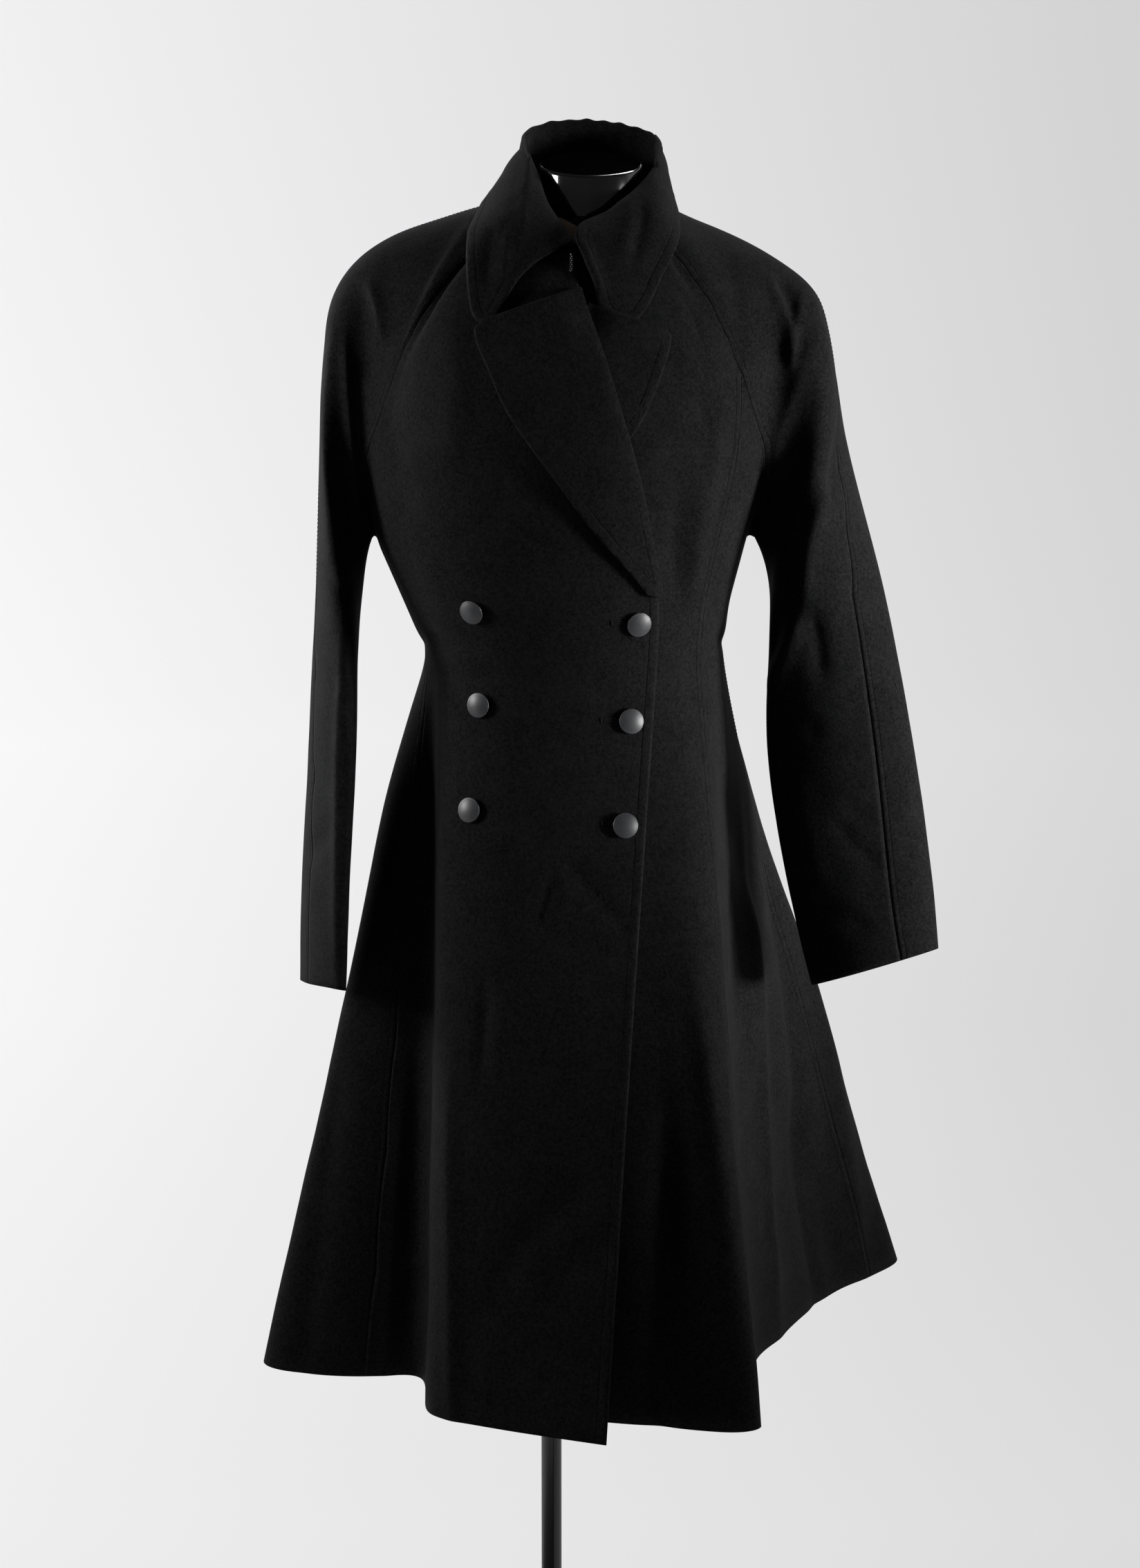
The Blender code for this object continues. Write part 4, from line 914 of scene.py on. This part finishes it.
class COAT_OT_buttonholes(bpy.types.Operator):
    """Works the three buttonholes of the right front"""

    bl_idname = "coat.buttonholes"
    bl_label = "Buttonholes"

    def execute(self, context):
        bm = bmesh_of(bpy.data.objects["cloth_front_right"].data)
        tree = BVHTree.FromBMesh(bm)
        bm.free()
        worked = bmesh.new()
        for x, z in BUTTONHOLES:
            place, up = tree.ray_cast(Vector((x, -1.0, z)), Vector((0, 1, 0)))[:2]
            if place is None:
                raise RuntimeError("no cloth under a buttonhole")
            along = Vector((1, 0, 0)) - up * up.x
            along.normalize()
            middle = Matrix.Translation(place) @ turn_to(along, up)
            # Two lips and two end bars: places along and across, and half their length and width
            bars = [(0, 0.0010, 0.0115, 0.00075), (0, -0.0010, 0.0115, 0.00075)]
            bars += [(-0.0112, 0, 0.0008, 0.0024), (0.0112, 0, 0.0008, 0.0024)]
            for right, ahead, *half in bars:
                matrix = middle @ Matrix.Translation((right, ahead, 0.0002)) @ Matrix.Diagonal((*half, 0.0005, 1.0))
                bmesh.ops.create_uvsphere(worked, u_segments=16, v_segments=8, radius=1.0, matrix=matrix)
        new_piece("buttonholes", worked, "thread")
        return {"FINISHED"}


def button_place(node):
    """The middle of a button's base and the direction that its face looks in."""
    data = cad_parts[node].data
    points = np.array([vert.co for vert in data.vertices], float)
    middle = points.mean(axis=0)
    values, vectors = np.linalg.eigh(np.cov((points - middle).T))
    facing = vectors[:, 0] if vectors[1, 0] < 0 else -vectors[:, 0]
    base = middle + facing * ((points - middle) @ facing).min()
    return Vector(base), Vector(facing)


def turned(profile, steps=48):
    """A solid turned about Z from (r, z) points that start and end on the axis."""
    bm = bmesh.new()
    verts = [bm.verts.new((radius, 0, height)) for radius, height in profile]
    edges = [bm.edges.new(pair) for pair in zip(verts, verts[1:])]
    bmesh.ops.spin(
        bm, geom=verts + edges, cent=(0, 0, 0), axis=(0, 0, 1), angle=2 * math.pi, steps=steps, use_merge=True
    )
    bmesh.ops.remove_doubles(bm, verts=bm.verts, dist=1e-6)
    bmesh.ops.recalc_face_normals(bm, faces=bm.faces)
    return bm


def arc(start, end, middle, steps):
    """Points of a quarter turn from start to end round middle, all as (r, z)."""
    start, end, middle = (np.array(point, float) for point in (start, end, middle))
    turns = [math.pi / 2 * i / steps for i in range(steps + 1)]
    return [tuple(middle + (start - middle) * math.cos(turn) + (end - middle) * math.sin(turn)) for turn in turns]


def bevelled(bm, edges, width, segments):
    bmesh.ops.bevel(
        bm, geom=edges, offset=width, offset_type="OFFSET", segments=segments, profile=0.5, affect="EDGES", material=-1
    )


class COAT_OT_buttons(bpy.types.Operator):
    """Makes the six buttons"""

    bl_idname = "coat.buttons"
    bl_label = "Buttons"

    def execute(self, context):
        radius = context.scene.coat_hard.button_width / 2
        lift, rim, dome = 0.0016, 0.0013, 0.0024
        profile = [(0, 0), (radius * 0.38, 0), (radius * 0.38, lift), (radius * 0.88, lift + 0.0003)]
        profile += arc((radius * 0.94, lift + 0.0003), (radius, lift + rim), (radius * 0.94, lift + rim), 4)
        profile += arc((radius, lift + rim), (radius * 0.93, lift + rim + 0.0007), (radius * 0.93, lift + rim), 4)
        for i in range(1, 13):
            share = 0.93 * (1 - i / 12)
            profile.append((radius * share, lift + rim + 0.0007 + dome * (1 - (share / 0.93) ** 2)))
        for node in BUTTONS:
            base, facing = button_place(node)
            bm = turned(profile)
            turn = facing.to_track_quat("Z", "Y").to_matrix().to_4x4()
            bmesh.ops.transform(bm, matrix=Matrix.Translation(base) @ turn, verts=bm.verts)
            new_piece("dome_" + node, bm, "button", (node,))
        return {"FINISHED"}


class COAT_OT_form(bpy.types.Operator):
    """Makes the torso, the neck block, the pole and the base"""

    bl_idname = "coat.form"
    bl_label = "Form and stand"

    def execute(self, context):
        for node, finish in FORM_PARTS.items():
            bm = welded(node)
            if node == "form_neck":
                bevelled(bm, [edge for edge in bm.edges if edge.calc_face_angle(0.0) > math.radians(50)], 0.0011, 3)
                bm.normal_update()
                for face in bm.faces:
                    face.material_index = int(face.normal.z > 0.93)
            piece = new_piece("made_" + node, bm, finish, (node,))
            if node == "form_neck":
                piece.data.materials.append(finish_of("neck_top"))
            piece.data.set_sharp_from_angle(angle=math.radians(35))
        return {"FINISHED"}


class COAT_OT_hook(bpy.types.Operator):
    """Makes the hook and its chain"""

    bl_idname = "coat.hook"
    bl_label = "Hook"

    def execute(self, context):
        bm = welded("neck_hook")
        bevelled(bm, bm.edges[:], 0.0002, 2)
        piece = new_piece("made_neck_hook", bm, "hook", ("neck_hook",))
        piece.data.set_sharp_from_angle(angle=math.radians(35))
        points = np.array([vert.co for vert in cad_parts["neck_hook"].data.vertices])
        low, high = points.min(axis=0), points.max(axis=0)
        links = bmesh.new()
        for i in range(9):
            share = (i + 0.5) / 9
            aside = 0.0003 if i % 2 else -0.0003
            place = Vector(((low[0] + high[0]) / 2 + aside, low[1] - 0.0004, low[2] + (high[2] - low[2]) * share))
            size = Matrix.Diagonal((0.00030, 0.00030, 0.00045, 1.0))
            matrix = Matrix.Translation(place) @ size
            bmesh.ops.create_uvsphere(links, u_segments=12, v_segments=8, radius=1.0, matrix=matrix)
        new_piece("hook_chain", links, "chain")
        return {"FINISHED"}


def area_light(name, place, target, size, power, spread):
    """A softbox with a grid on it, which narrows its light to a spread in degrees."""
    data = bpy.data.lights.new(name, "AREA")
    data.shape = "RECTANGLE"
    data.size, data.size_y = size
    data.energy = power
    data.spread = math.radians(spread)
    data.color = LAMP_WHITE
    light = bpy.data.objects.new(name, data)
    light.location = place
    light.rotation_euler = (Vector(target) - Vector(place)).to_track_quat("-Z", "Y").to_euler()
    light.visible_camera = False
    bpy.context.scene.collection.objects.link(light)


class COAT_OT_stage(bpy.types.Operator):
    """Makes the camera, the backdrop and the lights"""

    bl_idname = "coat.stage"
    bl_label = "Stage"

    def execute(self, context):
        stage = context.scene.coat_stage
        camera_data = bpy.data.cameras.new("camera")
        camera_data.lens = stage.lens
        camera = bpy.data.objects.new("camera", camera_data)
        camera.location = CAMERA_PLACE
        camera.rotation_euler = (math.radians(90 - stage.pitch), 0, 0)
        context.scene.collection.objects.link(camera)
        context.scene.camera = camera

        radius, bend, top = 9.0, 2.5, 7.0
        profile = [(0, 0), (radius - bend, 0)]
        profile += arc((radius - bend, 0), (radius, bend), (radius - bend, bend), 16)[1:]
        profile.append((radius, top))
        bm = turned(profile, 96)
        bmesh.ops.reverse_faces(bm, faces=bm.faces)
        mesh = mesh_of(bm, "backdrop")
        mesh.shade_smooth()
        backdrop = bpy.data.objects.new("backdrop", mesh)
        context.scene.collection.objects.link(backdrop)
        mesh.materials.append(finish_of("backdrop"))

        key, fill, soft = stage.key, stage.fill, SOFTBOX_SIZE
        area_light("softbox_right", (-1.95, -0.25, 1.65), (-0.08, 0, 1.22), soft, key, 60)
        area_light("rim_right", (-1.6, 1.0, 1.5), (-0.15, 0, 1.18), soft, key * 0.85, 60)
        area_light("softbox_left", (1.95, -0.55, 1.15), (0.34, 0, 1.10), soft, fill, 30)
        area_light("top_back", (0.5, 0.7, 2.7), (0.06, 0, 1.4), (0.8, 0.4), key * 0.25, 50)
        world = bpy.data.worlds.new("studio")
        world.use_nodes = True
        sky = world.node_tree.nodes["Background"].inputs
        sky["Color"].default_value = (0.9, 0.92, 0.95, 1)
        sky["Strength"].default_value = 0.05
        context.scene.world = world
        context.scene.view_settings.view_transform = "Standard"
        return {"FINISHED"}


class COAT_PT_panel(bpy.types.Panel):
    """Lists the sizes and the steps"""

    bl_label = "Coat"
    bl_space_type = "VIEW_3D"
    bl_region_type = "UI"
    bl_category = "Coat"

    def draw(self, context):
        for group in (context.scene.coat_cloth, context.scene.coat_hard, context.scene.coat_stage):
            box = self.layout.box()
            for key in group.__annotations__:
                box.prop(group, key)
        for operator in OPERATORS:
            self.layout.operator(operator.bl_idname)


GROUPS = (("coat_cloth", CoatCloth), ("coat_hard", CoatHard), ("coat_stage", CoatStage))
OPERATORS = (
    COAT_OT_cloth,
    COAT_OT_collar,
    COAT_OT_buttonholes,
    COAT_OT_buttons,
    COAT_OT_form,
    COAT_OT_hook,
    COAT_OT_stage,
)


def register():
    for name, group in GROUPS:
        bpy.utils.register_class(group)
        setattr(bpy.types.Scene, name, bpy.props.PointerProperty(type=group))
    for operator in OPERATORS:
        bpy.utils.register_class(operator)
    bpy.utils.register_class(COAT_PT_panel)


def unregister():
    bpy.utils.unregister_class(COAT_PT_panel)
    for operator in reversed(OPERATORS):
        bpy.utils.unregister_class(operator)
    for name, group in reversed(GROUPS):
        delattr(bpy.types.Scene, name)
        bpy.utils.unregister_class(group)


def main():
    register()
    bpy.ops.coat.cloth()
    bpy.ops.coat.collar()
    bpy.ops.coat.buttonholes()
    bpy.ops.coat.buttons()
    bpy.ops.coat.form()
    bpy.ops.coat.hook()
    bpy.ops.coat.stage()


if __name__ == "__main__":
    main()
